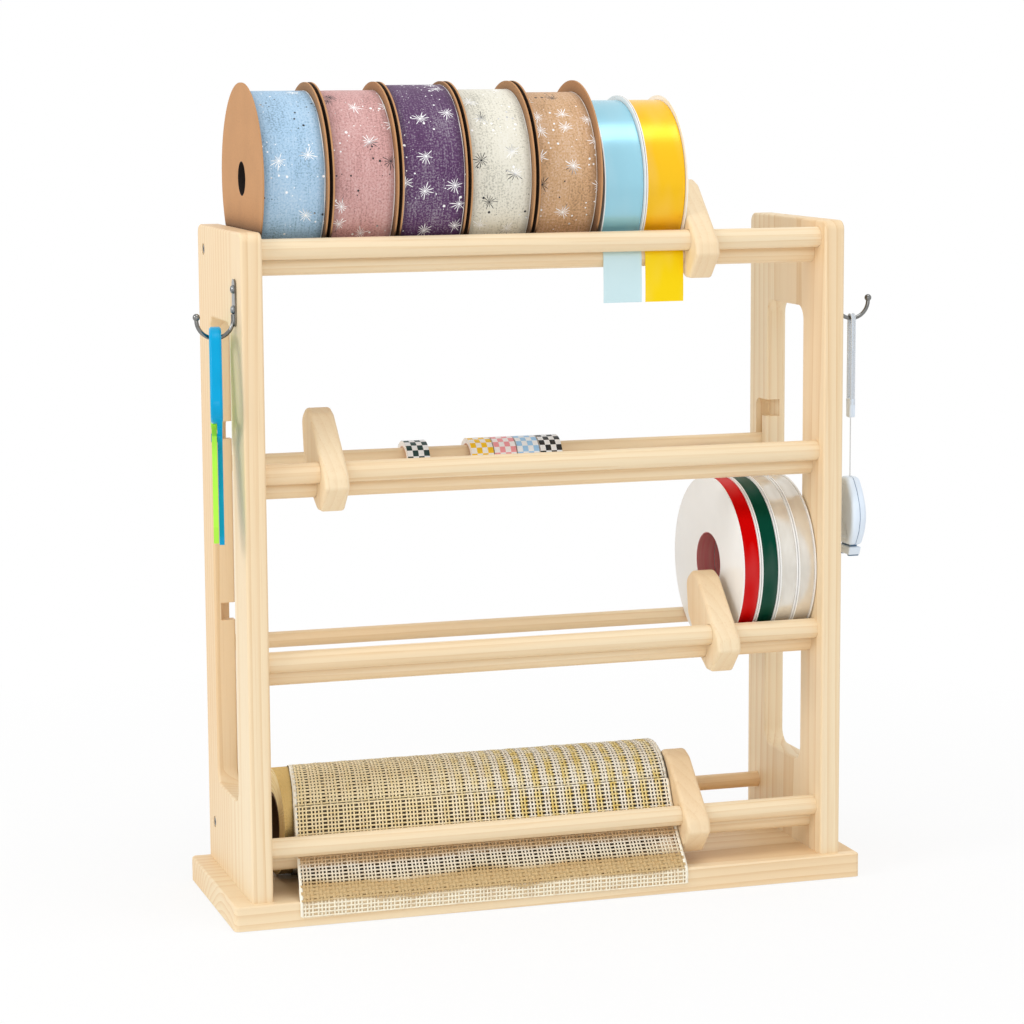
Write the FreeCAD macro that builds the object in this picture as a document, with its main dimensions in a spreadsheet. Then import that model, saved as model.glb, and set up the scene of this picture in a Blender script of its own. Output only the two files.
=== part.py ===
"""Wooden counter rack that holds and dispenses ribbon spools, tape rolls and mesh.

Millimetres. X runs along the rods, -Y faces the user, +Z is up, and the origin is the
centre of the base board's underside.
"""
import FreeCAD, Part
import math
import os
import re

import Sketcher

Vector = FreeCAD.Vector

SIZES = {
    # base board
    "base_length": 404.0,
    "base_depth": 130.0,
    "base_thick": 15.2,
    "base_overhang": 12.0,
    "base_corner": 3.0,
    "base_edge": 1.5,
    # side panels, standing on the base
    "panel_thick": 13.0,
    "panel_front": 60.0,
    "panel_depth": 124.0,
    "panel_height": 400.0,
    "panel_corner": 6.0,
    "panel_edge": 1.5,
    "window_front": 25.0,
    "window_back": 34.0,
    "window_low": 53.5,
    "window_drop": 55.0,
    "window_corner": 9.0,
    # rods: each tier has a front rod, a lower rod just behind it and a rear rod
    "rod_diameter": 12.5,
    "rear_rod_diameter": 10.0,
    "rod_chamfer": 0.6,
    "front_rod_y": 47.5,
    "lower_rod_back": 10.8,
    "lower_rod_drop": 9.8,
    "rear_rod_y": 47.0,
    "rear_rod_drop": 4.2,
    "tier1_drop": 10.5,
    "tier2_height": 271.7,
    "tier3_height": 158.7,
    "tier4_height": 44.7,
    "socket_depth": 9.0,
    "socket_clearance": 0.1,
    "rod_end_gap": 0.2,
    # L-shaped notches that the loose rear rods drop into
    "notch_clearance": 0.5,
    "notch_lift": 22.0,
    "notch_overrun": 3.0,
    "loose_end_gap": 0.4,
    # sliding dividers
    "divider_thick": 15.5,
    "divider_nose_y": 16.5,
    "divider_nose_z": 8.4,
    "divider_brow_y": 14.9,
    "divider_brow_z": 0.9,
    "divider_crest_y": 21.3,
    "divider_crest_z": 32.9,
    "divider_top_y": 31.5,
    "divider_top_z": 36.5,
    "divider_back_y": 42.5,
    "divider_back_z": 29.2,
    "divider_waist_y": 39.1,
    "divider_waist_z": 7.3,
    "divider_heel_y": 17.6,
    "divider_heel_z": 17.0,
    "divider_sole_y": 6.0,
    "divider_toe_y": 2.0,
    "divider_foot_z": 23.3,
    "divider_clearance": 0.3,
    "divider_small_round": 2.5,
    "divider_round": 8.0,
    "divider_edge": 2.4,
    "divider2_inset": 34.5,
    "divider3_gap": 3.2,
    # gaps between pieces that move past each other
    "running_gap": 0.3,
    "side_gap": 0.4,
    # wired ribbon on card spools, tier 1
    "wired_disc_radius": 57.0,
    "wired_disc_thick": 1.0,
    "wired_width": 38.1,
    "wired_radius": 52.0,
    "wired_full_radius": 55.0,
    "wired_low_radius": 50.0,
    "wired_gap": 2.2,
    "wired_bore_radius": 10.0,
    "card_core_thick": 1.5,
    "wind_gap": 0.1,
    # satin ribbon on white spools, tier 1
    "satin_flange_radius": 53.0,
    "satin_flange_thick": 0.7,
    "satin_width": 24.6,
    "satin_radius": 49.0,
    "satin_bore_radius": 12.0,
    "satin_offset": 0.5,
    "satin_slack": 0.3,
    "satin_core_thick": 2.0,
    "satin_thick": 0.4,
    "satin_tail_drop": 37.5,
    # narrow ribbon on white spools, tier 3
    "thin_flange_radius": 55.0,
    "thin_flange_thick": 0.8,
    "thin_width": 10.2,
    "thin_radius": 54.2,
    "thin_bore_radius": 18.5,
    "thin_core_thick": 2.0,
    "thin_slack": 0.1,
    "thin_yaw": 2.6,
    "thin_seat_gap": 0.3,
    # paper tapes threaded on the loose rear rod, tier 2
    "tape_width": 14.4,
    "tape_radius": 14.5,
    "tape_bore_radius": 10.5,
    "tape1_inset": 112.0,
    "tape_row_gap": 27.6,
    "tape_pitch": 15.2,
    # decorative mesh roll, tier 4
    "mesh_core_length": 249.0,
    "mesh_core_inset": 14.0,
    "mesh_core_radius": 18.0,
    "mesh_core_wall": 2.0,
    "mesh_setback": 10.0,
    "mesh_radius": 34.0,
    "mesh_inner_radius": 33.0,
    "mesh_thick": 0.8,
    "mesh_tail_inset": 4.0,
    "mesh_tail_end": 6.0,
    # wood screws, used in the base and in the fixed rear rods
    "screw_head_radius": 3.5,
    "screw_head_height": 2.3,
    "screw_shank_radius": 1.75,
    "screw_shank_length": 22.0,
    "screw_bore_depth": 2.6,
    "screw_drive_radius": 2.4,
    "pilot_spare": 1.0,
    "screw_clearance": 0.1,
    "base_screw_spread": 84.0,
    # small round-head screws, used in the hooks and the hanger plates
    "pin_head_radius": 2.6,
    "pin_head_height": 1.4,
    "pin_drive_radius": 1.8,
    "pin_shank_radius": 1.2,
    "pin_shank_length": 9.0,
    # hooks
    "hook_y": 43.0,
    "hook_plate_drop": 27.5,
    "hook_plate_height": 28.0,
    "hook_plate_width": 8.0,
    "hook_plate_thick": 1.2,
    "hook_plate_corner": 3.8,
    "hook_wire_radius": 1.25,
    "hook_bend_radius": 11.0,
    "hook_shank_length": 2.9,
    "hook_sweep": 185.0,
    "hook_ball_radius": 2.2,
    "hook_screw_inset": 6.0,
    "hook_drill_length": 4.0,
    "hook_screw_pitch": 12.0,
    # keyhole hanger plates on the back edges of the panels
    "hanger_drop": 22.0,
    "hanger_height": 32.0,
    "hanger_width": 10.0,
    "hanger_thick": 1.2,
    "hanger_screw_inset": 4.0,
    "keyhole_radius": 3.6,
    "keyhole_slot": 4.0,
    "keyhole_rise": 6.0,
    "keyhole_recess": 8.0,
    # scissors hung on the left hook, leaning so that their weight is below it
    "scissor_yaw": -11.5,
    "scissor_lean": -14.5,
    "scissor_length": 122.0,
    "loop_width": 27.0,
    "loop_height": 57.0,
    "loop_bar": 4.5,
    "loop_thick": 7.2,
    "loop_pitch": 28.5,
    "loop_round": 12.5,
    "finger_round": 8.0,
    "loop_edge": 1.8,
    "shank_front": 8.0,
    "shank_back": 9.0,
    "blade_thick": 3.0,
    "blade_gap": 0.3,
    "blade_width": 9.5,
    "blade_lap": 1.0,
    "blade_heel": 9.0,
    "tip_inset": 5.5,
    "tip_rise": 4.5,
    "pivot_drop": 59.0,
    "pivot_radius": 2.5,
    "hub_radius": 7.0,
    # pocket cutter hung on the right hook by its lanyard
    "strap_width": 3.4,
    "strap_thick": 1.5,
    "strap_loop_width": 7.0,
    "strap_round": 3.2,
    "strap_inner_round": 1.7,
    "strap_length": 55.0,
    "clasp_width": 6.4,
    "clasp_thick": 4.0,
    "clasp_height": 12.0,
    "string_diameter": 1.0,
    "string_length": 37.4,
    "cutter_top_half": 5.0,
    "cutter_shoulder_half": 11.5,
    "cutter_shoulder_drop": 8.2,
    "cutter_side_half": 16.0,
    "cutter_side_drop": 17.2,
    "cutter_belly_half": 17.0,
    "cutter_belly_drop": 25.4,
    "cutter_hip_half": 15.0,
    "cutter_hip_drop": 33.5,
    "cutter_foot_half": 9.5,
    "cutter_height": 42.6,
    "cutter_thick": 9.5,
    "cutter_edge": 2.5,
    "shoe_gap": 1.2,
    "shoe_neck": 6.5,
    "shoe_height": 6.0,
    "shoe_inset": 0.8,
    "shoe_taper": 2.0,
}

TOUCH = 1e-4  # two positions closer than this are the same

TIERS = ("tier1", "tier2", "tier3", "tier4")
FIXED_REAR_TIERS = ("tier1", "tier4")
LOOSE_REAR_TIERS = ("tier2", "tier3")
SATIN_COUNT = 2
THIN_COUNT = 4
TAPE_ROW_COUNT = 4

doc = FreeCAD.newDocument("RibbonSpoolDispenser")
sheet = doc.addObject("Spreadsheet::Sheet", "Sizes")
for row, (alias, value) in enumerate(SIZES.items(), start=1):
    sheet.set(f"A{row}", str(value))
    sheet.setAlias(f"A{row}", alias)
doc.recompute()

pieces = []


# ---------------------------------------------------------------- helpers


def bound(text):
    """Turn size names in an expression into references to the sheet."""
    def refer(match):
        name = match.group(0)
        return "Sizes." + name if name in SIZES else name
    return re.sub(r"[a-z][a-z0-9_]*", refer, text)


def value(text):
    """Number that an expression of size names gives now."""
    return float(sheet.evalExpression(bound(text)))


def keep(item, label):
    """Register an object as one of the finished pieces."""
    item.Label = label
    pieces.append(item)
    return item


def place(item, x="0", y="0", z="0"):
    """Bind an object's position to sizes."""
    for axis, text in zip("xyz", (x, y, z)):
        item.setExpression(f"Placement.Base.{axis}", bound(text))


def new_body(label):
    return keep(doc.addObject("PartDesign::Body", label), label)


def sketch_on(body, name, role, offset=None):
    """Empty sketch on one of the body's own origin planes."""
    sketch = body.newObject("Sketcher::SketchObject", name)
    plane = [item for item in body.Origin.OriginFeatures if item.Role == role][0]
    sketch.AttachmentSupport = [(plane, "")]
    sketch.MapMode = "FlatFace"
    if offset is not None:
        sketch.setExpression("AttachmentOffset.Base.z", bound(offset))
    return sketch


def fix_point(sketch, shape, point, across, up):
    """Tie a sketch point to sizes; "0" puts it on the axis."""
    for kind, text, axis in (("DistanceX", across, -2), ("DistanceY", up, -1)):
        if text == "0":
            sketch.addConstraint(Sketcher.Constraint("PointOnObject", shape, point, axis))
            continue
        index = sketch.addConstraint(Sketcher.Constraint(kind, shape, point, value(text)))
        sketch.setExpression(f"Constraints[{index}]", bound(text))


def outline(sketch, corners):
    """Closed straight-sided outline through corners given as pairs of expressions."""
    first = sketch.GeometryCount
    spots = [Vector(value(across), value(up), 0) for across, up in corners]
    count = len(corners)
    for index in range(count):
        sketch.addGeometry(Part.LineSegment(spots[index], spots[(index + 1) % count]), False)
    for index in range(count):
        following = first + (index + 1) % count
        sketch.addConstraint(Sketcher.Constraint("Coincident", first + index, 2, following, 1))
    for index, (across, up) in enumerate(corners):
        fix_point(sketch, first + index, 1, across, up)


def rectangle(sketch, left, right, low, high):
    outline(sketch, [(left, low), (right, low), (right, high), (left, high)])


def circle(sketch, across, up, radius):
    centre = Vector(value(across), value(up), 0)
    index = sketch.addGeometry(Part.Circle(centre, Vector(0, 0, 1), value(radius)), False)
    fix_point(sketch, index, 3, across, up)
    limit = sketch.addConstraint(Sketcher.Constraint("Radius", index, value(radius)))
    sketch.setExpression(f"Constraints[{limit}]", bound(radius))


def pad(body, sketch, name, length, backwards=False):
    feature = body.newObject("PartDesign::Pad", name)
    feature.Profile = sketch
    feature.Reversed = backwards
    feature.setExpression("Length", bound(length))
    sketch.Visibility = False
    doc.recompute()
    return feature


def pocket(body, sketch, name, depth, backwards=False):
    """Cut a sketch into the body, and make sure that it removed material."""
    before = body.Shape.Volume
    feature = body.newObject("PartDesign::Pocket", name)
    feature.Profile = sketch
    feature.Reversed = backwards
    feature.setExpression("Length", bound(depth))
    doc.recompute()
    if body.Shape.Volume > before - 0.01:
        raise ValueError(f"{body.Label}: {name} cuts nothing")
    return feature


def fillet(body, name, radius, wanted):
    """Round the edges of the body that the test accepts."""
    tip = body.Tip
    names = [f"Edge{number}" for number, edge in enumerate(tip.Shape.Edges, start=1)
             if wanted(edge)]
    if not names:
        raise ValueError(f"{body.Label}: {name} finds no edge")
    feature = body.newObject("PartDesign::Fillet", name)
    feature.Base = (tip, names)
    feature.setExpression("Radius", bound(radius))
    doc.recompute()
    return feature


def ends(edge):
    return edge.valueAt(edge.FirstParameter), edge.valueAt(edge.LastParameter)


def runs_along_x(edge):
    start, stop = ends(edge)
    return abs(stop.x - start.x) > 0.999 * edge.Length


def flat_at(edge, axis, level):
    """True where the whole edge lies in the plane axis = level."""
    middle = edge.valueAt((edge.FirstParameter + edge.LastParameter) / 2)
    return all(abs(getattr(spot, axis) - level) < TOUCH for spot in (*ends(edge), middle))


def turned_body(label, profile, x, y, z):
    """Body turned about X from a half section of (x, radius) corners."""
    body = new_body(label)
    section = sketch_on(body, "Section", "XZ_Plane")
    outline(section, profile)
    turn = body.newObject("PartDesign::Revolution", "Turn")
    turn.Profile = section
    turn.ReferenceAxis = (section, ["H_Axis"])
    turn.Angle = 360
    place(body, x, y, z)
    doc.recompute()
    return body


def tube_profile(length, outer, inner):
    return [("0", inner), ("0", outer), (length, outer), (length, inner)]


PANEL_TOP = "(base_thick + panel_height)"


def level(tier):
    """Height of a tier's front rod: the top tier keeps its place below the panels' tops."""
    return f"({PANEL_TOP} - tier1_drop)" if tier == TIERS[0] else f"{tier}_height"


# ---------------------------------------------------------------- places


ROD_RADIUS = "(rod_diameter / 2)"
REAR_RADIUS = "(rear_rod_diameter / 2)"
LOWER_Y = "(lower_rod_back - front_rod_y)"
PANEL_MIDDLE = "(panel_depth / 2 - panel_front)"
INNER_FACE = "(base_length / 2 - base_overhang - panel_thick)"
OUTER_FACE = f"({INNER_FACE} + panel_thick)"
PANEL_X = f"({INNER_FACE} + panel_thick / 2)"


def cradle(radius, tier):
    """Centre of a spool that rests on the lower and the rear rod of a tier."""
    span_y = f"(rear_rod_y - {LOWER_Y})"
    step_up = "(lower_rod_drop - rear_rod_drop)"
    span = f"sqrt({span_y}^2 + {step_up}^2)"
    front = f"({radius} + {ROD_RADIUS} + running_gap)"
    rear = f"({radius} + {REAR_RADIUS} + running_gap)"
    along = f"(({front}^2 - {rear}^2 + {span}^2) / (2 * {span}))"
    rise = f"sqrt({front}^2 - {along}^2)"
    y = f"{LOWER_Y} + {along} * {span_y} / {span} - {rise} * {step_up} / {span}"
    z = (f"{level(tier)} - lower_rod_drop + {along} * {step_up} / {span}"
         f" + {rise} * {span_y} / {span}")
    return y, z


# ---------------------------------------------------------------- frame


def base_board():
    body = new_body("base_board")
    face = sketch_on(body, "Plan", "XY_Plane")
    rectangle(face, "-base_length / 2", "base_length / 2", "-base_depth / 2", "base_depth / 2")
    pad(body, face, "Board", "base_thick")
    fillet(body, "Corners", "base_corner",
           lambda edge: not flat_at(edge, "z", 0) and not flat_at(edge, "z", value("base_thick")))
    fillet(body, "TopEdge", "base_edge", lambda edge: flat_at(edge, "z", value("base_thick")))
    holes = sketch_on(body, "ScrewHoles", "XY_Plane")
    bores = sketch_on(body, "ScrewHeads", "XY_Plane")
    for x, y in base_screw_spots():
        circle(holes, x, y, "screw_shank_radius + screw_clearance")
        circle(bores, x, y, "screw_head_radius + screw_clearance")
    pocket(body, holes, "ScrewHoleCut", "base_thick", backwards=True)
    pocket(body, bores, "ScrewHeadCut", "screw_bore_depth", backwards=True)


def base_screw_spots():
    """Two screws under each panel."""
    spots = []
    for side in ("-", ""):
        for end in ("-", "+"):
            spots.append((f"{side}{PANEL_X}",
                          f"{PANEL_MIDDLE} {end} base_screw_spread / 2"))
    return spots


def side_panel(label, side):
    """Panel with its inner face at local x = 0; side is 1 on the right, -1 on the left."""
    left = side < 0
    outer = "-panel_thick" if left else "panel_thick"
    body = new_body(label)
    place(body, f"-{INNER_FACE}" if left else INNER_FACE, "0", "base_thick")
    face = sketch_on(body, "Side", "YZ_Plane")
    rectangle(face, "-panel_front", "panel_depth - panel_front", "0", "panel_height")
    pad(body, face, "Panel", "panel_thick", backwards=left)
    top = value("panel_height")
    fillet(body, "TopCorners", "panel_corner",
           lambda edge: runs_along_x(edge) and flat_at(edge, "z", top))
    opening = sketch_on(body, "Window", "YZ_Plane")
    rectangle(opening, "-window_front", "window_back", "window_low",
              "panel_height - window_drop")
    pocket(body, opening, "WindowCut", "panel_thick", backwards=not left)

    def window_corner(edge):
        start = ends(edge)[0]
        beside = min(abs(start.y + value("window_front")), abs(start.y - value("window_back")))
        return runs_along_x(edge) and beside < TOUCH

    fillet(body, "WindowCorners", "window_corner", window_corner)
    outside = value(outer)

    def face_edge(edge):
        on_face = flat_at(edge, "x", 0) or flat_at(edge, "x", outside)
        return on_face and not flat_at(edge, "z", 0)

    fillet(body, "Edges", "panel_edge", face_edge)
    cut_notches(body, left)
    cut_sockets(body, left)
    cut_screw_holes(body, left, outer)
    return body


def notch_centre(tier):
    return f"({level(tier)} - rear_rod_drop - base_thick + notch_clearance - running_gap)"


def cut_notches(body, left):
    """Drop slot and entry for each loose rear rod, open towards the window."""
    half = f"({REAR_RADIUS} + notch_clearance)"
    for tier in LOOSE_REAR_TIERS:
        seat = notch_centre(tier)
        entry = f"({seat} + notch_lift)"
        rounds = sketch_on(body, f"Seat_{tier}", "YZ_Plane")
        circle(rounds, "rear_rod_y", seat, half)
        pocket(body, rounds, f"SeatCut_{tier}", "socket_depth", backwards=not left)
        crown = sketch_on(body, f"Crown_{tier}", "YZ_Plane")
        circle(crown, "rear_rod_y", entry, half)
        pocket(body, crown, f"CrownCut_{tier}", "socket_depth", backwards=not left)
        slot = sketch_on(body, f"Slot_{tier}", "YZ_Plane")
        outline(slot, [(f"rear_rod_y - {half}", seat), (f"rear_rod_y + {half}", seat),
                       (f"rear_rod_y + {half}", entry), ("rear_rod_y", f"{entry} + {half}"),
                       ("window_back - notch_overrun", f"{entry} + {half}"),
                       ("window_back - notch_overrun", f"{entry} - {half}"),
                       (f"rear_rod_y - {half}", f"{entry} - {half}")])
        pocket(body, slot, f"SlotCut_{tier}", "socket_depth", backwards=not left)


def cut_sockets(body, left):
    """Blind round sockets for the fixed rods."""
    holes = sketch_on(body, "Sockets", "YZ_Plane")
    radius = f"{ROD_RADIUS} + socket_clearance"
    for tier in TIERS:
        circle(holes, "-front_rod_y", f"{level(tier)} - base_thick", radius)
        circle(holes, LOWER_Y, f"{level(tier)} - lower_rod_drop - base_thick", radius)
    for tier in FIXED_REAR_TIERS:
        circle(holes, "rear_rod_y", f"{level(tier)} - rear_rod_drop - base_thick",
               f"{REAR_RADIUS} + socket_clearance")
    pocket(body, holes, "SocketCut", "socket_depth", backwards=not left)


def cut_screw_holes(body, left, outer):
    """Holes for the rod, base, hook and hanger screws."""
    through = sketch_on(body, "RodScrews", "YZ_Plane")
    heads = sketch_on(body, "RodScrewHeads", "YZ_Plane", outer)
    for tier in FIXED_REAR_TIERS:
        height = f"{level(tier)} - rear_rod_drop - base_thick"
        circle(through, "rear_rod_y", height, "screw_shank_radius + screw_clearance")
        circle(heads, "rear_rod_y", height, "screw_head_radius + screw_clearance")
    pocket(body, through, "RodScrewCut", "panel_thick", backwards=not left)
    pocket(body, heads, "RodScrewHeadCut", "screw_bore_depth", backwards=left)
    hook = sketch_on(body, "HookScrews", "YZ_Plane", outer)
    for height in hook_screw_heights():
        circle(hook, "-hook_y", f"{height} - base_thick", "pin_shank_radius + screw_clearance")
    pocket(body, hook, "HookScrewCut", "pin_shank_length", backwards=left)
    foot = sketch_on(body, "FootScrews", "XY_Plane")
    middle = f"{outer} / 2"
    for end in ("-", "+"):
        circle(foot, middle, f"{PANEL_MIDDLE} {end} base_screw_spread / 2",
               "screw_shank_radius + screw_clearance")
    pocket(body, foot, "FootScrewCut",
           "screw_shank_length + screw_bore_depth - base_thick + pilot_spare", backwards=True)
    back = sketch_on(body, "HangerHoles", "XZ_Plane", "panel_front - panel_depth")
    for height in hanger_screw_heights():
        circle(back, middle, f"{height} - base_thick", "pin_shank_radius + screw_clearance")
    pocket(body, back, "HangerScrewCut", "pin_shank_length", backwards=True)
    recess = sketch_on(body, "KeyholeRecess", "XZ_Plane", "panel_front - panel_depth")
    rectangle(recess, f"{middle} - keyhole_radius", f"{middle} + keyhole_radius",
              f"{KEYHOLE_Z} - keyhole_radius - base_thick",
              f"{KEYHOLE_Z} + keyhole_radius + keyhole_rise - base_thick")
    pocket(body, recess, "KeyholeRecessCut", "keyhole_recess", backwards=True)


def turned_rod(label, diameter, clear_end, y, z, pilot=None):
    """Dowel with chamfered ends; pilot is the depth of a screw hole in each end."""
    half = f"({INNER_FACE} + socket_depth - {clear_end})"
    radius = f"({diameter} / 2)"
    profile = []
    if pilot is None:
        profile.append((f"-{half}", "0"))
    else:
        bore = "screw_shank_radius + screw_clearance"
        profile += [(f"{pilot} - {half}", "0"), (f"{pilot} - {half}", bore), (f"-{half}", bore)]
    profile += [(f"-{half}", f"{radius} - rod_chamfer"), (f"rod_chamfer - {half}", radius),
                (f"{half} - rod_chamfer", radius), (half, f"{radius} - rod_chamfer")]
    if pilot is None:
        profile.append((half, "0"))
    else:
        profile += [(half, bore), (f"{half} - {pilot}", bore), (f"{half} - {pilot}", "0")]
    return turned_body(label, profile, "0", y, z)


def rods():
    reach = "(panel_thick - screw_bore_depth - socket_depth + rod_end_gap)"
    pilot = f"(screw_shank_length - {reach} + pilot_spare)"
    for tier in TIERS:
        height = level(tier)
        turned_rod(f"front_rod_{tier}", "rod_diameter", "rod_end_gap",
                   "-front_rod_y", height)
        turned_rod(f"lower_rod_{tier}", "rod_diameter", "rod_end_gap",
                   LOWER_Y, f"{height} - lower_rod_drop")
        loose = tier in LOOSE_REAR_TIERS
        turned_rod(f"rear_rod_{tier}", "rear_rod_diameter",
                   "loose_end_gap" if loose else "rod_end_gap",
                   "rear_rod_y", f"{height} - rear_rod_drop", None if loose else pilot)


# ---------------------------------------------------------------- dividers


def divider(tier, x):
    """Fin that slides along the front and the lower rod; local origin on the front rod."""
    body = new_body(f"divider_{tier}")
    face = sketch_on(body, "Fin", "YZ_Plane")
    outline(face, [
        ("-divider_nose_y", "-divider_nose_z"),
        ("-divider_brow_y", "-divider_brow_z"),
        ("divider_crest_y", "divider_crest_z"),
        ("divider_top_y", "divider_top_z"),
        ("divider_back_y", "divider_back_z"),
        ("divider_waist_y", "divider_waist_z"),
        ("divider_heel_y", "-divider_heel_z"),
        ("divider_sole_y", "-divider_foot_z"),
        ("-divider_toe_y", "-divider_foot_z"),
    ])
    pad(body, face, "FinPad", "divider_thick")
    brow = -value("divider_brow_z")
    fillet(body, "LowerCorners", "divider_small_round",
           lambda edge: runs_along_x(edge) and ends(edge)[0].z < brow - TOUCH)
    fillet(body, "UpperCorners", "divider_round",
           lambda edge: runs_along_x(edge) and ends(edge)[0].z > brow - TOUCH)
    left_face = 0
    right_face = value("divider_thick")
    fillet(body, "FaceEdges", "divider_edge",
           lambda edge: flat_at(edge, "x", left_face) or flat_at(edge, "x", right_face))
    holes = sketch_on(body, "RodHoles", "YZ_Plane")
    circle(holes, "0", "0", f"{ROD_RADIUS} + divider_clearance")
    circle(holes, "lower_rod_back", "-lower_rod_drop", f"{ROD_RADIUS} + divider_clearance")
    pocket(body, holes, "RodHoleCut", "divider_thick", backwards=True)
    place(body, x, "-front_rod_y", level(tier))


def dividers():
    divider("tier1", f"{SATIN_X} + {SATIN_COUNT} * ({SATIN_SPOOL_WIDTH} + side_gap)")
    divider("tier2", f"divider2_inset - {INNER_FACE}")
    divider("tier3", f"{THIN_X} - {THIN_SPOOL_WIDTH} / 2 - divider3_gap - divider_thick")
    divider("tier4", f"{MESH_X} + mesh_core_length + side_gap")


# ---------------------------------------------------------------- spools


WIRED_SPOOL_WIDTH = "(wired_width + 2 * wired_disc_thick)"
WIRED_X = f"(wired_gap - {INNER_FACE})"
WIRED_RADII = ("wired_radius", "wired_radius", "wired_full_radius", "wired_radius",
               "wired_low_radius")
SATIN_SPOOL_WIDTH = "(satin_width + 2 * satin_slack + 2 * satin_flange_thick)"
SATIN_X = f"({WIRED_X} + {len(WIRED_RADII)} * ({WIRED_SPOOL_WIDTH} + wired_gap) + satin_offset)"
THIN_SPOOL_WIDTH = "(thin_width + 2 * thin_slack + 2 * thin_flange_thick)"
THIN_REACH = f"({THIN_SPOOL_WIDTH} / 2 * cos(thin_yaw) + thin_flange_radius * sin(thin_yaw))"
THIN_PITCH = f"(({THIN_SPOOL_WIDTH} + side_gap) / cos(thin_yaw))"
THIN_X = f"({INNER_FACE} - side_gap - {THIN_REACH} - {THIN_COUNT - 1} * {THIN_PITCH})"


def spool_profile(width, flange, rim, bore, core):
    """Half section of a spool: two flanges on a core tube."""
    return [("0", bore), ("0", rim), (flange, rim), (flange, f"{bore} + {core}"),
            (f"{width} - {flange}", f"{bore} + {core}"), (f"{width} - {flange}", rim),
            (width, rim), (width, bore)]


def wound_profile(width, flange, slack, bore, core, rim):
    """Half section of the ribbon wound between the flanges."""
    inner = f"{bore} + {core} + wind_gap"
    left = f"{flange} + {slack}"
    right = f"{width} - {flange} - {slack}"
    return [(left, inner), (left, rim), (right, rim), (right, inner)]


def wired_spools():
    y, z = cradle("wired_disc_radius", "tier1")
    for index, radius in enumerate(WIRED_RADII):
        x = f"{WIRED_X} + {index} * ({WIRED_SPOOL_WIDTH} + wired_gap)"
        turned_body(f"card_spool_{index + 1}",
                    spool_profile(WIRED_SPOOL_WIDTH, "wired_disc_thick", "wired_disc_radius",
                                  "wired_bore_radius", "card_core_thick"), x, y, z)
        turned_body(f"wired_ribbon_{index + 1}",
                    wound_profile(WIRED_SPOOL_WIDTH, "wired_disc_thick", "wind_gap",
                                  "wired_bore_radius", "card_core_thick", radius),
                    x, y, z)


def satin_spools():
    y, z = cradle("satin_flange_radius", "tier1")
    for index in range(SATIN_COUNT):
        x = f"{SATIN_X} + {index} * ({SATIN_SPOOL_WIDTH} + side_gap)"
        turned_body(f"satin_spool_{index + 1}",
                    spool_profile(SATIN_SPOOL_WIDTH, "satin_flange_thick",
                                  "satin_flange_radius", "satin_bore_radius",
                                  "satin_core_thick"), x, y, z)
        turned_body(f"satin_ribbon_{index + 1}",
                    wound_profile(SATIN_SPOOL_WIDTH, "satin_flange_thick", "satin_slack",
                                  "satin_bore_radius", "satin_core_thick", "satin_radius"),
                    x, y, z)


def group(label, members):
    """Several separate solids kept together as one piece."""
    compound = doc.addObject("Part::Compound", label)
    compound.Links = members
    doc.recompute()
    return keep(compound, label)


def thin_spools():
    """Row that leans against the right panel, each spool turned a little about Z."""
    y, z = cradle("(thin_flange_radius + thin_seat_gap)", "tier3")
    half = f"{THIN_SPOOL_WIDTH} / 2"
    for index in range(THIN_COUNT):
        x = f"{THIN_X} + {index} * {THIN_PITCH} - {half} * cos(thin_yaw)"
        spot = f"vector({x}; {y} - {half} * sin(thin_yaw); {z})"
        spool = turned_body(f"narrow_spool_{index + 1}",
                            spool_profile(THIN_SPOOL_WIDTH, "thin_flange_thick",
                                          "thin_flange_radius", "thin_bore_radius",
                                          "thin_core_thick"), x, y, z)
        ribbon = turned_body(f"narrow_ribbon_{index + 1}",
                             wound_profile(THIN_SPOOL_WIDTH, "thin_flange_thick", "thin_slack",
                                           "thin_bore_radius", "thin_core_thick",
                                           "thin_radius"), x, y, z)
        for body in (spool, ribbon):
            for axis in "xyz":
                body.setExpression(f"Placement.Base.{axis}", None)
            body.setExpression("Placement", bound(f"placement({spot}; rotation(thin_yaw; 0; 0))"))


def paper_tapes():
    z = f"tier2_height - rear_rod_drop + {REAR_RADIUS} + running_gap - tape_bore_radius"
    first = f"(tape1_inset - {INNER_FACE})"
    row = f"({first} + tape_width + tape_row_gap)"
    starts = [first] + [f"{row} + {index} * tape_pitch" for index in range(TAPE_ROW_COUNT)]
    for index, x in enumerate(starts, start=1):
        turned_body(f"paper_tape_{index}",
                    tube_profile("tape_width", "tape_radius", "tape_bore_radius"),
                    x, "rear_rod_y", z)


# The roll lies on the base and leans against the lower rod.
MESH_X = f"(mesh_core_inset - {INNER_FACE})"
MESH_Z = "(base_thick + running_gap + mesh_radius)"
MESH_REACH = f"(mesh_radius + {ROD_RADIUS} + running_gap)"
MESH_LEVEL = f"({MESH_Z} - tier4_height + lower_rod_drop)"
MESH_Y = f"({LOWER_Y} + sqrt({MESH_REACH}^2 - {MESH_LEVEL}^2))"


def mesh_roll():
    """Core and wound mesh, whose outer turns have slipped a little to the right."""
    turned_body("mesh_core",
                tube_profile("mesh_core_length", "mesh_core_radius",
                             "mesh_core_radius - mesh_core_wall"),
                MESH_X, MESH_Y, MESH_Z)
    inner = "mesh_core_radius + wind_gap"
    turned_body("mesh_roll",
                [("0", inner), ("0", "mesh_inner_radius"), ("mesh_setback", "mesh_inner_radius"),
                 ("mesh_setback", "mesh_radius"), ("mesh_core_length", "mesh_radius"),
                 ("mesh_core_length", inner)],
                MESH_X, MESH_Y, MESH_Z)


# ---------------------------------------------------------------- loose ends


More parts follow.
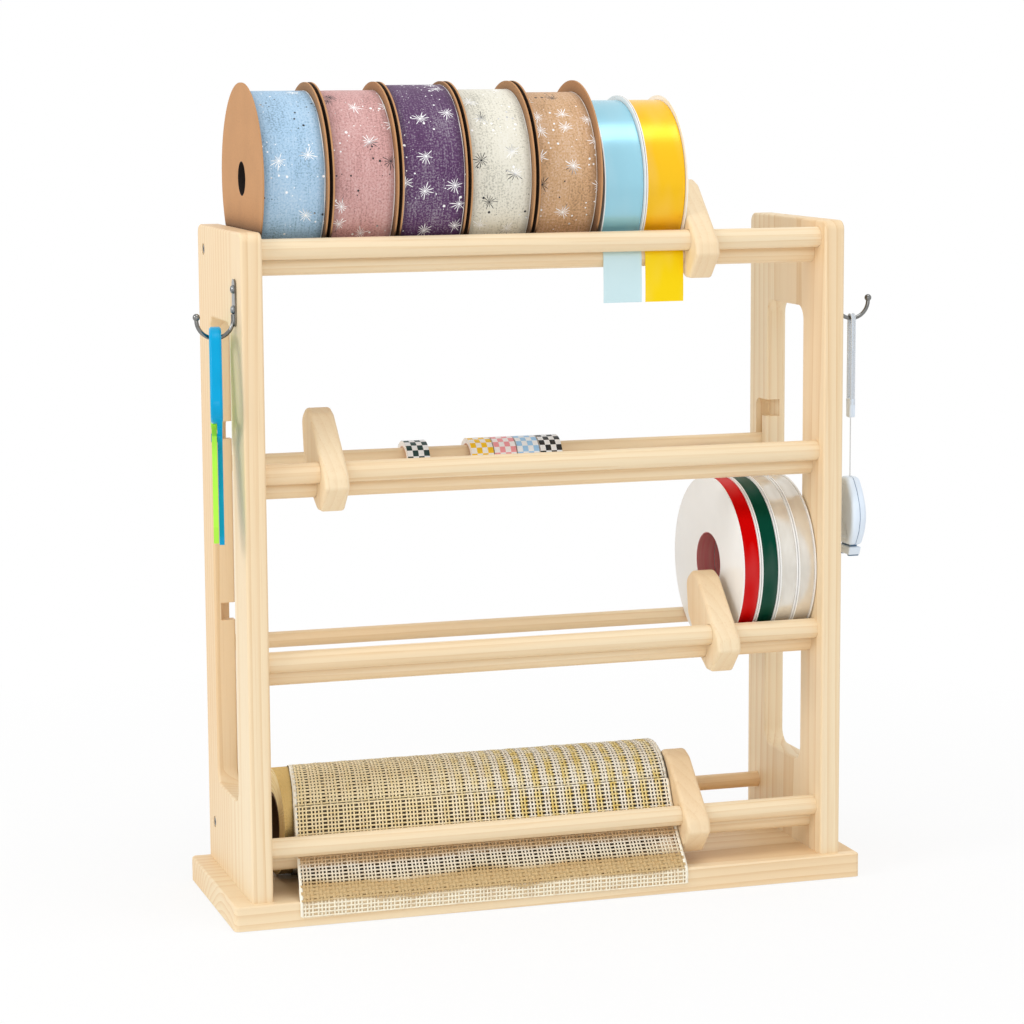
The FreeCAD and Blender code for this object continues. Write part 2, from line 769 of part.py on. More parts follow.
def at_angle(centre, radius, degrees):
    """Point of a circle in the YZ plane, the angle counted from +Y towards +Z."""
    turn = math.radians(degrees)
    return centre + Vector(0, radius * math.cos(turn), radius * math.sin(turn))


HALF_TURN = 180
FULL_TURN = 360


def bearing(start, stop):
    return math.degrees(math.atan2(stop.z - start.z, stop.y - start.y))


def arc_about(centre, radius, first, last):
    """Arc in the YZ plane through three points."""
    return Part.Arc(at_angle(centre, radius, first),
                    at_angle(centre, radius, (first + last) / 2),
                    at_angle(centre, radius, last)).toShape()


def strip(label, path, thick, left, right):
    """Sheet that follows a path in the YZ plane; a negative thickness lies on its left."""
    wire = Part.Wire(path)
    wire.translate(Vector(left, 0, 0))
    face = wire.makeOffset2D(thick, 0, True, True, False)
    tail = doc.addObject("Part::Feature", label)
    tail.Shape = face.extrude(Vector(right - left, 0, 0))
    return keep(tail, label)


def satin_tail(index):
    """Free end that leaves the underside of the roll and falls over the lower rod."""
    y, z = cradle("satin_flange_radius", TIERS[0])
    roll = Vector(0, value(y), value(z))
    rod = Vector(0, value(LOWER_Y), value(f"{level(TIERS[0])} - lower_rod_drop"))
    lie = value(f"{ROD_RADIUS} + running_gap")
    roll_lie = value("satin_radius + running_gap + satin_thick")
    lean = math.degrees(math.acos((roll_lie + lie) / roll.distanceToPoint(rod)))
    angle = bearing(roll, rod) + lean
    leave = at_angle(roll, roll_lie, angle)
    meet = at_angle(rod, lie, angle - HALF_TURN)
    hang = at_angle(rod, lie, HALF_TURN)
    end = Vector(0, hang.y, value(f"{level(TIERS[0])} - satin_tail_drop"))
    path = [Part.LineSegment(leave, meet).toShape(),
            arc_about(rod, lie, (angle - HALF_TURN) % FULL_TURN, HALF_TURN),
            Part.LineSegment(hang, end).toShape()]
    slack = f"{SATIN_X} + satin_flange_thick + satin_slack"
    left = value(f"{slack} + {index} * ({SATIN_SPOOL_WIDTH} + side_gap)")
    strip(f"satin_tail_{index + 1}", path, value("satin_thick"), left,
          left + value("satin_width"))


def mesh_tail():
    """Free end that leaves the top of the roll, dips under the front rod and over the lip."""
    roll = Vector(0, value(MESH_Y), value(MESH_Z))
    rod = Vector(0, -value("front_rod_y"), value("tier4_height"))
    lip = Vector(0, value("base_edge - base_depth / 2"), value("base_thick - base_edge"))
    roll_lie = value("mesh_radius + running_gap + mesh_thick")
    rod_lie = value(f"{ROD_RADIUS} + running_gap")
    lip_lie = value("base_edge + running_gap + mesh_thick")
    lean = math.degrees(math.acos((roll_lie + rod_lie) / roll.distanceToPoint(rod)))
    angle = bearing(roll, rod) % FULL_TURN - lean
    drop = math.degrees(math.acos((rod_lie + lip_lie) / rod.distanceToPoint(lip)))
    turn = bearing(rod, lip) % FULL_TURN + drop
    front = at_angle(lip, lip_lie, HALF_TURN)
    path = [Part.LineSegment(at_angle(roll, roll_lie, angle),
                             at_angle(rod, rod_lie, angle + HALF_TURN)).toShape(),
            arc_about(rod, rod_lie, angle + HALF_TURN, turn),
            Part.LineSegment(at_angle(rod, rod_lie, turn),
                             at_angle(lip, lip_lie, turn - HALF_TURN)).toShape(),
            arc_about(lip, lip_lie, turn - HALF_TURN, HALF_TURN),
            Part.LineSegment(front, Vector(0, front.y, value("mesh_tail_end"))).toShape()]
    left = value(f"{MESH_X} + mesh_tail_inset")
    right = value(f"{MESH_X} + mesh_core_length - mesh_tail_inset")
    strip("mesh_tail", path, -value("mesh_thick"), left, right)


# ---------------------------------------------------------------- metal parts


HOOK_PLATE_TOP = f"({PANEL_TOP} - hook_plate_drop)"
HOOK_MIDDLE = f"({HOOK_PLATE_TOP} - hook_screw_inset - hook_screw_pitch / 2)"
HOOK_BEND = f"({HOOK_MIDDLE} - hook_screw_pitch / 2 - pin_head_radius - hook_shank_length)"
HANGER_TOP = f"({PANEL_TOP} - hanger_drop)"
HANGER_MIDDLE = f"({HANGER_TOP} - hanger_height / 2)"
KEYHOLE_Z = f"({HANGER_MIDDLE} - keyhole_rise / 2)"


def hook_screw_heights():
    return [f"({HOOK_MIDDLE} + hook_screw_pitch / 2)", f"({HOOK_MIDDLE} - hook_screw_pitch / 2)"]


def hanger_screw_heights():
    return [f"({HANGER_TOP} - hanger_screw_inset)",
            f"({HANGER_TOP} - hanger_height + hanger_screw_inset)"]


def primitive(kind, name, **sizes):
    """Part primitive whose properties are bound to sizes."""
    item = doc.addObject(f"Part::{kind}", name)
    for prop, text in sizes.items():
        item.setExpression(prop, bound(text))
    return item


def aim(item, x, y, z, axis, degrees):
    """Position bound to sizes, with a fixed turn about an axis."""
    item.Placement = FreeCAD.Placement(Vector(0, 0, 0), FreeCAD.Rotation(axis, degrees))
    place(item, x, y, z)
    return item


def fused(name, members):
    item = doc.addObject("Part::MultiFuse", name)
    item.Shapes = members
    return item


def screw(name, kind, x, y, z, axis, degrees):
    """Screw with its shank up its own +Z and its head below z = 0."""
    head = primitive("Cone", f"{name}_head", Radius1=f"{kind}_drive_radius",
                     Radius2=f"{kind}_head_radius", Height=f"{kind}_head_height")
    place(head, z=f"-{kind}_head_height")
    shank = primitive("Cylinder", f"{name}_shank", Radius=f"{kind}_shank_radius",
                      Height=f"{kind}_shank_length")
    return aim(fused(name, [head, shank]), x, y, z, axis, degrees)


def wood_screws():
    screws = []
    for number, (x, y) in enumerate(base_screw_spots(), start=1):
        screws.append(screw(f"base_screw_{number}", "screw", x, y, "screw_bore_depth",
                            Vector(0, 0, 1), 0))
    seat = f"({OUTER_FACE} - screw_bore_depth)"
    for tier in FIXED_REAR_TIERS:
        height = f"{level(tier)} - rear_rod_drop"
        screws.append(screw(f"left_rod_screw_{tier}", "screw", f"-{seat}", "rear_rod_y",
                            height, Vector(0, 1, 0), 90))
        screws.append(screw(f"right_rod_screw_{tier}", "screw", seat, "rear_rod_y",
                            height, Vector(0, 1, 0), -90))
    group("wood_screws", screws)


def small_screws():
    screws = []
    face = f"({OUTER_FACE} + hook_plate_thick)"
    for number, height in enumerate(hook_screw_heights(), start=1):
        screws.append(screw(f"left_hook_screw_{number}", "pin", f"-{face}", "-hook_y", height,
                            Vector(0, 1, 0), 90))
        screws.append(screw(f"right_hook_screw_{number}", "pin", face, "-hook_y", height,
                            Vector(0, 1, 0), -90))
    back = "panel_depth - panel_front + hanger_thick"
    for number, height in enumerate(hanger_screw_heights(), start=1):
        for side, sign in (("left", "-"), ("right", "")):
            screws.append(screw(f"{side}_hanger_screw_{number}", "pin",
                                f"{sign}{PANEL_X}", back, height,
                                Vector(1, 0, 0), 90))
    group("small_screws", screws)


def wall_hook(label, degrees, side):
    """Oval plate with a round wire hook and a ball tip; local +X points at the panel."""
    plate = primitive("Box", f"{label}_blank", Length="hook_plate_thick",
                      Width="hook_plate_width", Height="hook_plate_height")
    place(plate, "-hook_plate_thick", "-hook_plate_width / 2",
          f"{HOOK_PLATE_TOP} - hook_plate_height")
    doc.recompute()
    oval = doc.addObject("Part::Fillet", f"{label}_oval")
    oval.Base = plate
    corner = value("hook_plate_corner")
    oval.Edges = [(number, corner, corner)
                  for number, edge in enumerate(plate.Shape.Edges, start=1)
                  if runs_along_x(edge)]
    wire_x = "(-hook_wire_radius - running_gap / 2)"
    shank = primitive("Cylinder", f"{label}_shank", Radius="hook_wire_radius",
                      Height="hook_shank_length")
    place(shank, wire_x, "0", HOOK_BEND)
    bend = primitive("Torus", f"{label}_bend", Radius1="hook_bend_radius",
                     Radius2="hook_wire_radius", Angle3="hook_sweep")
    aim(bend, f"{wire_x} - hook_bend_radius", "0", HOOK_BEND, Vector(1, 0, 0), -90)
    ball = primitive("Sphere", f"{label}_ball", Radius="hook_ball_radius")
    place(ball, f"{wire_x} - hook_bend_radius - hook_bend_radius * cos(hook_sweep - 180)", "0",
          f"{HOOK_BEND} + hook_bend_radius * sin(hook_sweep - 180) + hook_wire_radius / 2")
    metal = fused(f"{label}_metal", [oval, shank, bend, ball])
    drills = []
    for number, height in enumerate(hook_screw_heights(), start=1):
        drill = primitive("Cylinder", f"{label}_drill_{number}",
                          Radius="pin_shank_radius + screw_clearance",
                          Height="hook_drill_length")
        drills.append(aim(drill, "-hook_plate_thick - hook_wire_radius", "0", height,
                          Vector(0, 1, 0), 90))
    hook = doc.addObject("Part::Cut", label)
    hook.Base = metal
    hook.Tool = fused(f"{label}_drills", drills)
    aim(hook, f"{side}{OUTER_FACE}", "-hook_y", "0", Vector(0, 0, 1), degrees)
    return hook


def hanger_plate(label, sign):
    """Steel strip with a keyhole, screwed to the back edge of a panel."""
    body = doc.addObject("PartDesign::Body", label)
    face = sketch_on(body, "Strip", "XZ_Plane")
    rectangle(face, "-hanger_width / 2", "hanger_width / 2",
              f"{HANGER_TOP} - hanger_height", HANGER_TOP)
    pad(body, face, "StripPad", "hanger_thick", backwards=True)
    holes = sketch_on(body, "Holes", "XZ_Plane")
    for height in hanger_screw_heights():
        circle(holes, "0", height, "pin_shank_radius + screw_clearance")
    circle(holes, "0", KEYHOLE_Z, "keyhole_radius")
    pocket(body, holes, "HoleCut", "hanger_thick")
    slot = sketch_on(body, "KeyholeSlot", "XZ_Plane")
    rectangle(slot, "-keyhole_slot / 2", "keyhole_slot / 2", KEYHOLE_Z,
              f"{KEYHOLE_Z} + keyhole_radius + keyhole_rise")
    pocket(body, slot, "KeyholeSlotCut", "hanger_thick")
    place(body, f"{sign}{PANEL_X}", "panel_depth - panel_front")
    return body


# ---------------------------------------------------------------- hung tools


HOOK_X = f"({OUTER_FACE} + hook_wire_radius + running_gap / 2 + hook_bend_radius)"


def hang_height(thick):
    """Underside of a loop of this thickness that hangs in the hook's bend."""
    return (f"({HOOK_BEND} - sqrt(hook_bend_radius^2 - ({thick} / 2)^2)"
            " + hook_wire_radius + running_gap)")


def hang(body, lean="0", yaw="0", side="-", thick="loop_thick"):
    """Place a body whose origin is the top of its hanging loop."""
    spot = f"vector({side}{HOOK_X}; -hook_y; {hang_height(thick)})"
    body.setExpression("Placement", bound(f"placement({spot}; rotation({yaw}; 0; {lean}))"))


def scissor_half(label, middle, corners, blade_plane):
    """Finger loop and blade; local origin where the front loop hangs on the hook."""
    body = new_body(label)
    loop = sketch_on(body, "Loop", "YZ_Plane", "-loop_thick / 2")
    rectangle(loop, f"{middle} - loop_width / 2", f"{middle} + loop_width / 2",
              "loop_bar - loop_height", "loop_bar")
    pad(body, loop, "LoopPad", "loop_thick")
    fillet(body, "LoopCorners", "loop_round", runs_along_x)
    hole = sketch_on(body, "Finger", "YZ_Plane", "-loop_thick / 2")
    rectangle(hole, f"{middle} - loop_width / 2 + loop_bar",
              f"{middle} + loop_width / 2 - loop_bar", "2 * loop_bar - loop_height", "0")
    pocket(body, hole, "FingerCut", "loop_thick", backwards=True)
    centre = value(middle)
    half = value("loop_width / 2 - loop_bar")

    def finger_corner(edge):
        return runs_along_x(edge) and abs(abs(ends(edge)[0].y - centre) - half) < TOUCH

    fillet(body, "FingerCorners", "finger_round", finger_corner)
    outside = value("loop_thick / 2")
    fillet(body, "LoopEdges", "loop_edge",
           lambda edge: flat_at(edge, "x", outside) or flat_at(edge, "x", -outside))
    blade = sketch_on(body, "Blade", "YZ_Plane", blade_plane)
    outline(blade, corners)
    pad(body, blade, "BladePad", "blade_thick")
    return body


def scissors():
    """Two crossing halves: the hung one turns on the hook, the free one on its pivot."""
    bar = "(loop_bar - loop_height + loop_bar / 2)"
    pivot = "(loop_pitch / 2)"
    hub_foot = "(-pivot_drop - hub_radius)"
    near_tip = "(tip_rise - scissor_length)"
    heel = "(blade_heel - scissor_length)"
    inner = f"({pivot} - blade_lap)"
    outer = f"({inner} + blade_width)"
    hung = scissor_half("scissors_hung_half", "0", [
        ("-shank_front", bar),
        (f"{pivot} - hub_radius", "-pivot_drop"),
        (inner, hub_foot),
        (inner, near_tip),
        (f"{inner} + tip_inset", "-scissor_length"),
        (outer, heel),
        (outer, hub_foot),
        (f"{pivot} + hub_radius", "-pivot_drop"),
        ("shank_back", bar),
    ], "blade_gap / 2")
    stud = sketch_on(hung, "Pivot", "YZ_Plane", "blade_gap / 2")
    circle(stud, pivot, "-pivot_drop", "pivot_radius")
    pad(hung, stud, "PivotPad", "blade_thick + 2 * blade_gap", backwards=True)
    hang(hung, "scissor_lean", "scissor_yaw")
    inner = f"({pivot} + blade_lap)"
    outer = f"({inner} - blade_width)"
    free = scissor_half("scissors_free_half", "loop_pitch", [
        ("loop_pitch + shank_front", bar),
        (f"{pivot} + hub_radius", "-pivot_drop"),
        (inner, hub_foot),
        (inner, near_tip),
        (f"{inner} - tip_inset", "-scissor_length"),
        (outer, heel),
        (outer, hub_foot),
        (f"{pivot} - hub_radius", "-pivot_drop"),
        ("loop_pitch - shank_back", bar),
    ], "-blade_thick - blade_gap / 2")
    hole = sketch_on(free, "PivotHole", "YZ_Plane", "-blade_thick - blade_gap")
    circle(hole, pivot, "-pivot_drop", "pivot_radius + running_gap")
    pocket(free, hole, "PivotCut", "2 * blade_thick", backwards=True)
    hang(free, "scissor_lean", "scissor_yaw")


STRAP_TOP = hang_height("strap_width")
CLASP_TOP = f"({STRAP_TOP} + 2 * strap_thick - strap_length)"
STRING_TOP = f"({CLASP_TOP} - clasp_height)"
CUTTER_TOP = f"({STRING_TOP} - string_length)"


def lanyard():
    """Strap doubled over the hook, closed by a clasp, with a string below it."""
    band = doc.addObject("PartDesign::Body", "strap_band")
    loop = sketch_on(band, "Band", "YZ_Plane", "-strap_width / 2")
    rectangle(loop, "-strap_loop_width / 2", "strap_loop_width / 2",
              "strap_thick - strap_length", "strap_thick")
    pad(band, loop, "BandPad", "strap_width")
    top = value("strap_thick")
    fillet(band, "BandTop", "strap_round",
           lambda edge: runs_along_x(edge) and flat_at(edge, "z", top))
    hole = sketch_on(band, "Inside", "YZ_Plane", "-strap_width / 2")
    rectangle(hole, "strap_thick - strap_loop_width / 2", "strap_loop_width / 2 - strap_thick",
              "2 * strap_thick - strap_length", "0")
    pocket(band, hole, "InsideCut", "strap_width", backwards=True)
    fillet(band, "InsideTop", "strap_inner_round",
           lambda edge: runs_along_x(edge) and flat_at(edge, "z", 0))
    hang(band, side="", thick="strap_width")
    clasp = primitive("Box", "strap_clasp", Length="clasp_thick", Width="clasp_width",
                      Height="clasp_height")
    place(clasp, f"{HOOK_X} - clasp_thick / 2", "-hook_y - clasp_width / 2", STRING_TOP)
    strap = fused("lanyard_strap", [band, clasp])
    doc.recompute()
    keep(strap, "lanyard_strap")
    string = primitive("Cylinder", "lanyard_string", Radius="string_diameter / 2",
                       Height="string_length")
    place(string, HOOK_X, "-hook_y", CUTTER_TOP)
    keep(string, "lanyard_string")


def pocket_cutter():
    """Flat body, widest below its middle, with a shoe for the blade at its foot."""
    body = new_body("pocket_cutter")
    side = sketch_on(body, "Side", "YZ_Plane", "-cutter_thick / 2")
    half = [
        ("cutter_top_half", "0"),
        ("cutter_shoulder_half", "-cutter_shoulder_drop"),
        ("cutter_side_half", "-cutter_side_drop"),
        ("cutter_belly_half", "-cutter_belly_drop"),
        ("cutter_hip_half", "-cutter_hip_drop"),
        ("cutter_foot_half", "-cutter_height"),
    ]
    outline(side, half + [(f"-{across}", up) for across, up in reversed(half)])
    pad(body, side, "SidePad", "cutter_thick")
    face = value("cutter_thick / 2")
    fillet(body, "FaceEdges", "cutter_edge",
           lambda edge: flat_at(edge, "x", face) or flat_at(edge, "x", -face))
    neck = sketch_on(body, "Neck", "YZ_Plane", "cutter_edge - cutter_thick / 2")
    rectangle(neck, "-shoe_neck", "shoe_neck", "-cutter_height - shoe_gap - shoe_inset",
              "-cutter_height + shoe_inset")
    pad(body, neck, "NeckPad", "cutter_thick - 2 * cutter_edge")
    shoe = sketch_on(body, "Shoe", "YZ_Plane", "shoe_inset - cutter_thick / 2")
    low = "-cutter_height - shoe_gap - shoe_height"
    outline(shoe, [("cutter_foot_half", "-cutter_height - shoe_gap"),
                   ("cutter_foot_half - shoe_taper", low),
                   ("shoe_taper - cutter_foot_half", low),
                   ("-cutter_foot_half", "-cutter_height - shoe_gap")])
    pad(body, shoe, "ShoePad", "cutter_thick - 2 * shoe_inset")
    place(body, HOOK_X, "-hook_y", CUTTER_TOP)


# ---------------------------------------------------------------- build


def check_and_write():
    """Stop on any failed object, then write one STEP file for each piece."""
    doc.recompute()
    for item in doc.Objects:
        if {"Invalid", "Error"} & set(item.State):
            raise ValueError(f"{item.Label} failed: {item.State}")
    for item in pieces:
        if item.Shape.isNull() or not item.Shape.isValid():
            raise ValueError(f"{item.Label} has no valid shape")
    os.makedirs("parts", exist_ok=True)
    for item in pieces:
        item.Shape.exportStep(f"parts/{item.Label}.step")
    print(f"{len(pieces)} pieces written")


def build():
    base_board()
    side_panel("left_side_panel", -1)
    side_panel("right_side_panel", 1)
    rods()
    dividers()
    wired_spools()
    satin_spools()
    thin_spools()
    paper_tapes()
    mesh_roll()
    for index in range(SATIN_COUNT):
        satin_tail(index)
    mesh_tail()
    group("side_hooks", [wall_hook("left_hook", 0, "-"), wall_hook("right_hook", 180, "")])
    group("hanger_plates", [hanger_plate("left_hanger", "-"), hanger_plate("right_hanger", "")])
    wood_screws()
    small_screws()
    scissors()
    lanyard()
    pocket_cutter()
    check_and_write()


build()
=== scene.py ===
"""Ribbon spool dispenser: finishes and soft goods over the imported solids."""

import math

import bmesh
import bpy
from bpy.props import FloatProperty, FloatVectorProperty, IntProperty, PointerProperty
from mathutils import Matrix, Vector


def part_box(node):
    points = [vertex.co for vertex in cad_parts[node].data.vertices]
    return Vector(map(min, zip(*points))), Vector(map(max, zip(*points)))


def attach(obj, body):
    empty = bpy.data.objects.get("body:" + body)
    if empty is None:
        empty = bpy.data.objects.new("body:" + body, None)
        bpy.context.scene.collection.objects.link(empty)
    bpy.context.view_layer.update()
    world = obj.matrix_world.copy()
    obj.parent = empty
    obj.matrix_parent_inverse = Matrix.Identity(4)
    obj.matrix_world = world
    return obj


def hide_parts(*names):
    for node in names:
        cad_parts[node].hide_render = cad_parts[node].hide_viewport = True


bl_info = {
    "name": "Ribbon Spool Dispenser",
    "version": (1, 0, 0),
    "blender": (4, 5, 0),
    "location": "View3D > Sidebar > Ribbon Rack",
    "description": "Dresses a four-tier ribbon rack, its goods and its hung tools",
    "category": "Object",
}

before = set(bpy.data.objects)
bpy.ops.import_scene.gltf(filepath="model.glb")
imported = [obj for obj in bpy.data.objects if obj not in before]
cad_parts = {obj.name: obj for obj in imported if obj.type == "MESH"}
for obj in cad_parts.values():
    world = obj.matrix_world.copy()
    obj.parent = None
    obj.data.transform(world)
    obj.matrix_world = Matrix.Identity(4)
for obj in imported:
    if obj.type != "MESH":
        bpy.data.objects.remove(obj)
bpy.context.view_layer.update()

MM = 0.001
WIRED_COUNT = 5
SATIN_COUNT = 2
NARROW_COUNT = 4

# inner radii of what is wound, and radii inside which a card spool's bore is painted dark as shade
# or a narrow spool's bore is lined
WIRED_HUB, SATIN_HUB, NARROW_HUB = 11.6 * MM, 14.1 * MM, 20.8 * MM
TAPE_BORE, MESH_HUB = 10.5 * MM, 18.1 * MM
CARD_BORE, NARROW_BORE = 10.3 * MM, 18.9 * MM
# how much further out satin is wound than its solid
SATIN_EXTRA = 1.2 * MM

# screws: pattern, node, then radius of head, of its flat, height of head, shank and reach in mm
SCREWS = (("timber_screws", "wood_screws", 3.5, 2.4, 2.3, 1.75, 22.0),
    ("plate_screws", "small_screws", 2.6, 1.8, 1.4, 1.2, 9.0))

# camera: degrees round, up and rolled, then metres, and the lens in millimetres
CAMERA_TURNS = (-17.2955, 8.2186, -0.3426)
CAMERA_TARGET = (-0.007369, 0.0, 0.235045)
CAMERA_DISTANCE = 1.898222
FOCAL_LENGTH = 106.9432
SENSOR_WIDTH = 36
LAMP_TARGET = (0.0, 0.0, 0.25)

# kinds of node that recur
MATH = "ShaderNodeMath"
VECTOR_MATH = "ShaderNodeVectorMath"
MAP_RANGE = "ShaderNodeMapRange"
MIX = "ShaderNodeMix"
NOISE = "ShaderNodeTexNoise"
MAPPING = "ShaderNodeMapping"
COORDINATES = "ShaderNodeTexCoord"
BUMP = "ShaderNodeBump"


# ---------------------------------------------------------------- helpers


def colour(written):
    """Linear RGBA of an sRGB colour written as six hex digits."""
    parts = [int(written[start:start + 2], 16) / 255 for start in (0, 2, 4)]
    linear = [part / 12.92 if part <= 0.04045 else ((part + 0.055) / 1.055) ** 2.4
        for part in parts]
    return (*linear, 1.0)


def length(name, text, size):
    """A size in metres that the sidebar shows with its unit."""
    return FloatProperty(name=name, description=text, default=size, min=0.0, precision=5,
        unit="LENGTH", subtype="DISTANCE")


def share(name, text, size):
    """A part of one, shown as a slider."""
    return FloatProperty(name=name, description=text, default=size, min=0.0, max=1.0,
        subtype="FACTOR")


def tint(name, text, written):
    """A colour given as six hex digits."""
    return FloatVectorProperty(name=name, description=text, default=colour(written), size=4,
        min=0.0, max=1.0, subtype="COLOR")


def fill(tree, node, inputs):
    """Link or set the input sockets of a node."""
    for key, source in inputs.items():
        if isinstance(source, bpy.types.Node):
            source = next(socket for socket in source.outputs if socket.enabled)
        if isinstance(source, bpy.types.NodeSocket):
            tree.links.new(source, node.inputs[key])
        else:
            node.inputs[key].default_value = source


def add(tree, kind, inputs=None, **settings):
    """Add a node, apply its settings, then fill its input sockets."""
    made = tree.nodes.new(kind)
    for name, setting in settings.items():
        setattr(made, name, setting)
    fill(tree, made, inputs or {})
    return made


def finish_of(name):
    """New material with its tree and shader."""
    material = bpy.data.materials.new(name)
    material.use_nodes = True
    tree = material.node_tree
    return material, tree, tree.nodes["Principled BSDF"]


def middle(node):
    """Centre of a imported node's box."""
    low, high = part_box(node)
    return (Vector(low) + Vector(high)) / 2


def dress(node, material):
    """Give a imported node's object its finish and leave its mesh alone."""
    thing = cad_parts[node]
    if not thing.material_slots:
        thing.data.materials.append(material)
    for slot in thing.material_slots:
        slot.material = material


def new_tree(name, inputs):
    """Empty geometry tree with named inputs and one geometry output."""
    tree = bpy.data.node_groups.new(name, "GeometryNodeTree")
    tree.interface.new_socket(name="Geometry", in_out="OUTPUT", socket_type="NodeSocketGeometry")
    for label, kind, default in inputs:
        socket = tree.interface.new_socket(name=label, in_out="INPUT",
            socket_type=f"NodeSocket{kind}")
        if default is not None:
            socket.default_value = default
    entry = tree.nodes.new("NodeGroupInput")
    leave = tree.nodes.new("NodeGroupOutput")
    return tree, entry.outputs, leave


def grown(name, tree, values, start=None):
    """Run a geometry tree once and keep what it makes as a plain mesh object."""
    piece = bpy.data.objects.new(name, start or bpy.data.meshes.new(name))
    bpy.context.scene.collection.objects.link(piece)
    build = piece.modifiers.new("Build", "NODES")
    build.node_group = tree
    for item in tree.interface.items_tree:
        if item.in_out == "INPUT" and item.name in values:
            build[item.identifier] = values[item.name]
    graph = bpy.context.evaluated_depsgraph_get()
    mesh = bpy.data.meshes.new_from_object(piece.evaluated_get(graph),
        preserve_all_data_layers=True, depsgraph=graph)
    piece.modifiers.remove(build)
    piece.data = mesh
    if not mesh.polygons:
        raise RuntimeError(f"{name} came out empty")
    return piece


def piece_of(name, mesh, material):
    """Object at the origin that shows a finished mesh."""
    mesh.materials.append(material)
    piece = bpy.data.objects.new(name, mesh)
    bpy.context.scene.collection.objects.link(piece)
    return piece


def settle(piece, body, node):
    """Hang a piece on the empty of the body that it rides on, and hide the imported node that it
    stands in for.
    """
    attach(piece, body)
    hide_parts(node)


def smooth(mesh, angle=35):
    """Soft shading with hard edges where faces meet at more than the angle."""
    for polygon in mesh.polygons:
        polygon.use_smooth = True
    work = bmesh.new()
    work.from_mesh(mesh)
    limit = math.radians(angle)
    for edge in work.edges:
        if len(edge.link_faces) == 2:
            edge.smooth = edge.calc_face_angle(0) < limit
    work.to_mesh(mesh)
    work.free()


# ---------------------------------------------------------------- settings


class TimberSettings(bpy.types.PropertyGroup):
    earlywood: tint("Earlywood", "Pale summer growth of the pine", "F3DFBC")
    latewood: tint("Latewood", "Darker line that closes each year's ring", "D9AE74")
    blush: tint("Blush", "Warmer patches where the sap ran", "F0D2A8")
    ring_spacing: length("Ring Spacing", "Distance between two yearly rings", 5.5 * MM)
    rod_ring_spacing: length("Rod Ring Spacing", "The same on the turned dowels", 4.0 * MM)
    ring_depth: share("Ring Depth", "How strongly the rings show", 0.55)


class RibbonSettings(bpy.types.PropertyGroup):
    sky: tint("Sky", "First crepe ribbon", "A3C6E2")
    rose: tint("Rose", "Second crepe ribbon", "CF9C98")
    plum: tint("Plum", "Third crepe ribbon", "52285A")
    ivory: tint("Ivory", "Fourth crepe ribbon", "E6E2D2")
    tan: tint("Tan", "Fifth crepe ribbon", "CFA478")
    star_cell: length("Star Spacing", "Rough distance between two foil stars", 17.0 * MM)
    dot_cell: length("Dot Spacing", "Rough distance between two foil dots", 4.6 * MM)
    edge_wire: length("Edge Wire", "Radius of the wire sewn into each edge", 0.45 * MM)
    waviness: length("Waviness", "How far the outer turn stands in and out", 0.35 * MM)
    kraft: tint("Kraft", "Unbleached board of the spools", "BE8D60")


class SatinSettings(bpy.types.PropertyGroup):
    blue: tint("Blue", "First satin ribbon", "9CD2E4")
    yellow: tint("Yellow", "Second satin ribbon", "FAC400")
    # painted light: paler, brighter copies of the ribbon colours for the tails, together with the
    # duller finish of a satin back
    blue_back: tint("Blue Back", "Duller back of the first, seen on its tail", "CFE9EE")
    yellow_back: tint("Yellow Back", "Duller back of the second", "FBD908")
    thread: length("Thread", "Distance between two drawn weft threads", 0.45 * MM)
    curl: length("Curl", "How far each free end bows out from the rods", 0.5 * MM)


class NarrowSettings(bpy.types.PropertyGroup):
    red: tint("Red", "First narrow ribbon", "CC0000")
    green: tint("Green", "Second narrow ribbon", "064332")
    silver: tint("Silver", "Third and fourth narrow ribbons", "C9C1B4")
    hub: tint("Hub", "Lining of each hub", "BE6266")
    spool: tint("Spool", "Moulded spools", "F7F6F3")


class TapeSettings(bpy.types.PropertyGroup):
    green: tint("Green", "Dark squares of the first tape", "0A3532")
    yellow: tint("Yellow", "Dark squares of the second tape", "FFCB06")
    pink: tint("Pink", "Dark squares of the third tape", "F9A2A8")
    blue: tint("Blue", "Dark squares of the fourth tape", "A4D3FA")
    black: tint("Black", "Dark squares of the fifth tape", "0E0E0E")
    paper: tint("Paper", "Light squares and wound sides", "FFFFFF")
    columns: IntProperty(name="Columns", description="Squares across each tape", default=4, min=1)
    rows: IntProperty(name="Rows", description="Squares around each tape", default=22, min=2)


class MeshSettings(bpy.types.PropertyGroup):
    ivory: tint("Ivory", "Palest strands", "FFF9EA")
    straw: tint("Straw", "Plain strands towards the left", "FFEBBC")
    gold: tint("Gold", "Groups of metallic strands", "F0D468")
    # painted shade: the colour of what lies deep between the turns and under the outer one
    shade: tint("Shade", "What shows deep between the turns", "2A1A0C")
    selvage: tint("Selvage", "Bound edges", "FBF5E4")
    pitch: length("Pitch", "Average distance between strands", 2.43 * MM)
    strand: length("Strand", "Width of one flat strand", 1.34 * MM)
    free_strand: length("Free Strand", "The same on the single layer of the free end", 1.0 * MM)
    group: IntProperty(name="Group", description="Strands between two wide gaps", default=4, min=2)
    gap: length("Wide Gap", "Extra room after each group of strands", 1.2 * MM)
    flare: share("Flare", "How much further out the left edge lies for each step forward", 0.147)


class ToolSettings(bpy.types.PropertyGroup):
    handle: tint("Handle", "Scissor half that hangs on the hook", "00A6DA")
    lime: tint("Lime", "The other scissor half", "B4F84E")
    shell: tint("Shell", "Pocket cutter", "E6F2FF")
    # painted shade: colour of the cutter's grooves and recesses
    seam: tint("Seam", "Lines between the cutter's parts", "5E7C98")
    strap: tint("Strap", "Braided strap", "E4EDF7")
    string: tint("String", "Thin string", "EEF3F6")
    plaits: IntProperty(name="Plaits", description="Crossings along the strap", default=24, min=4)


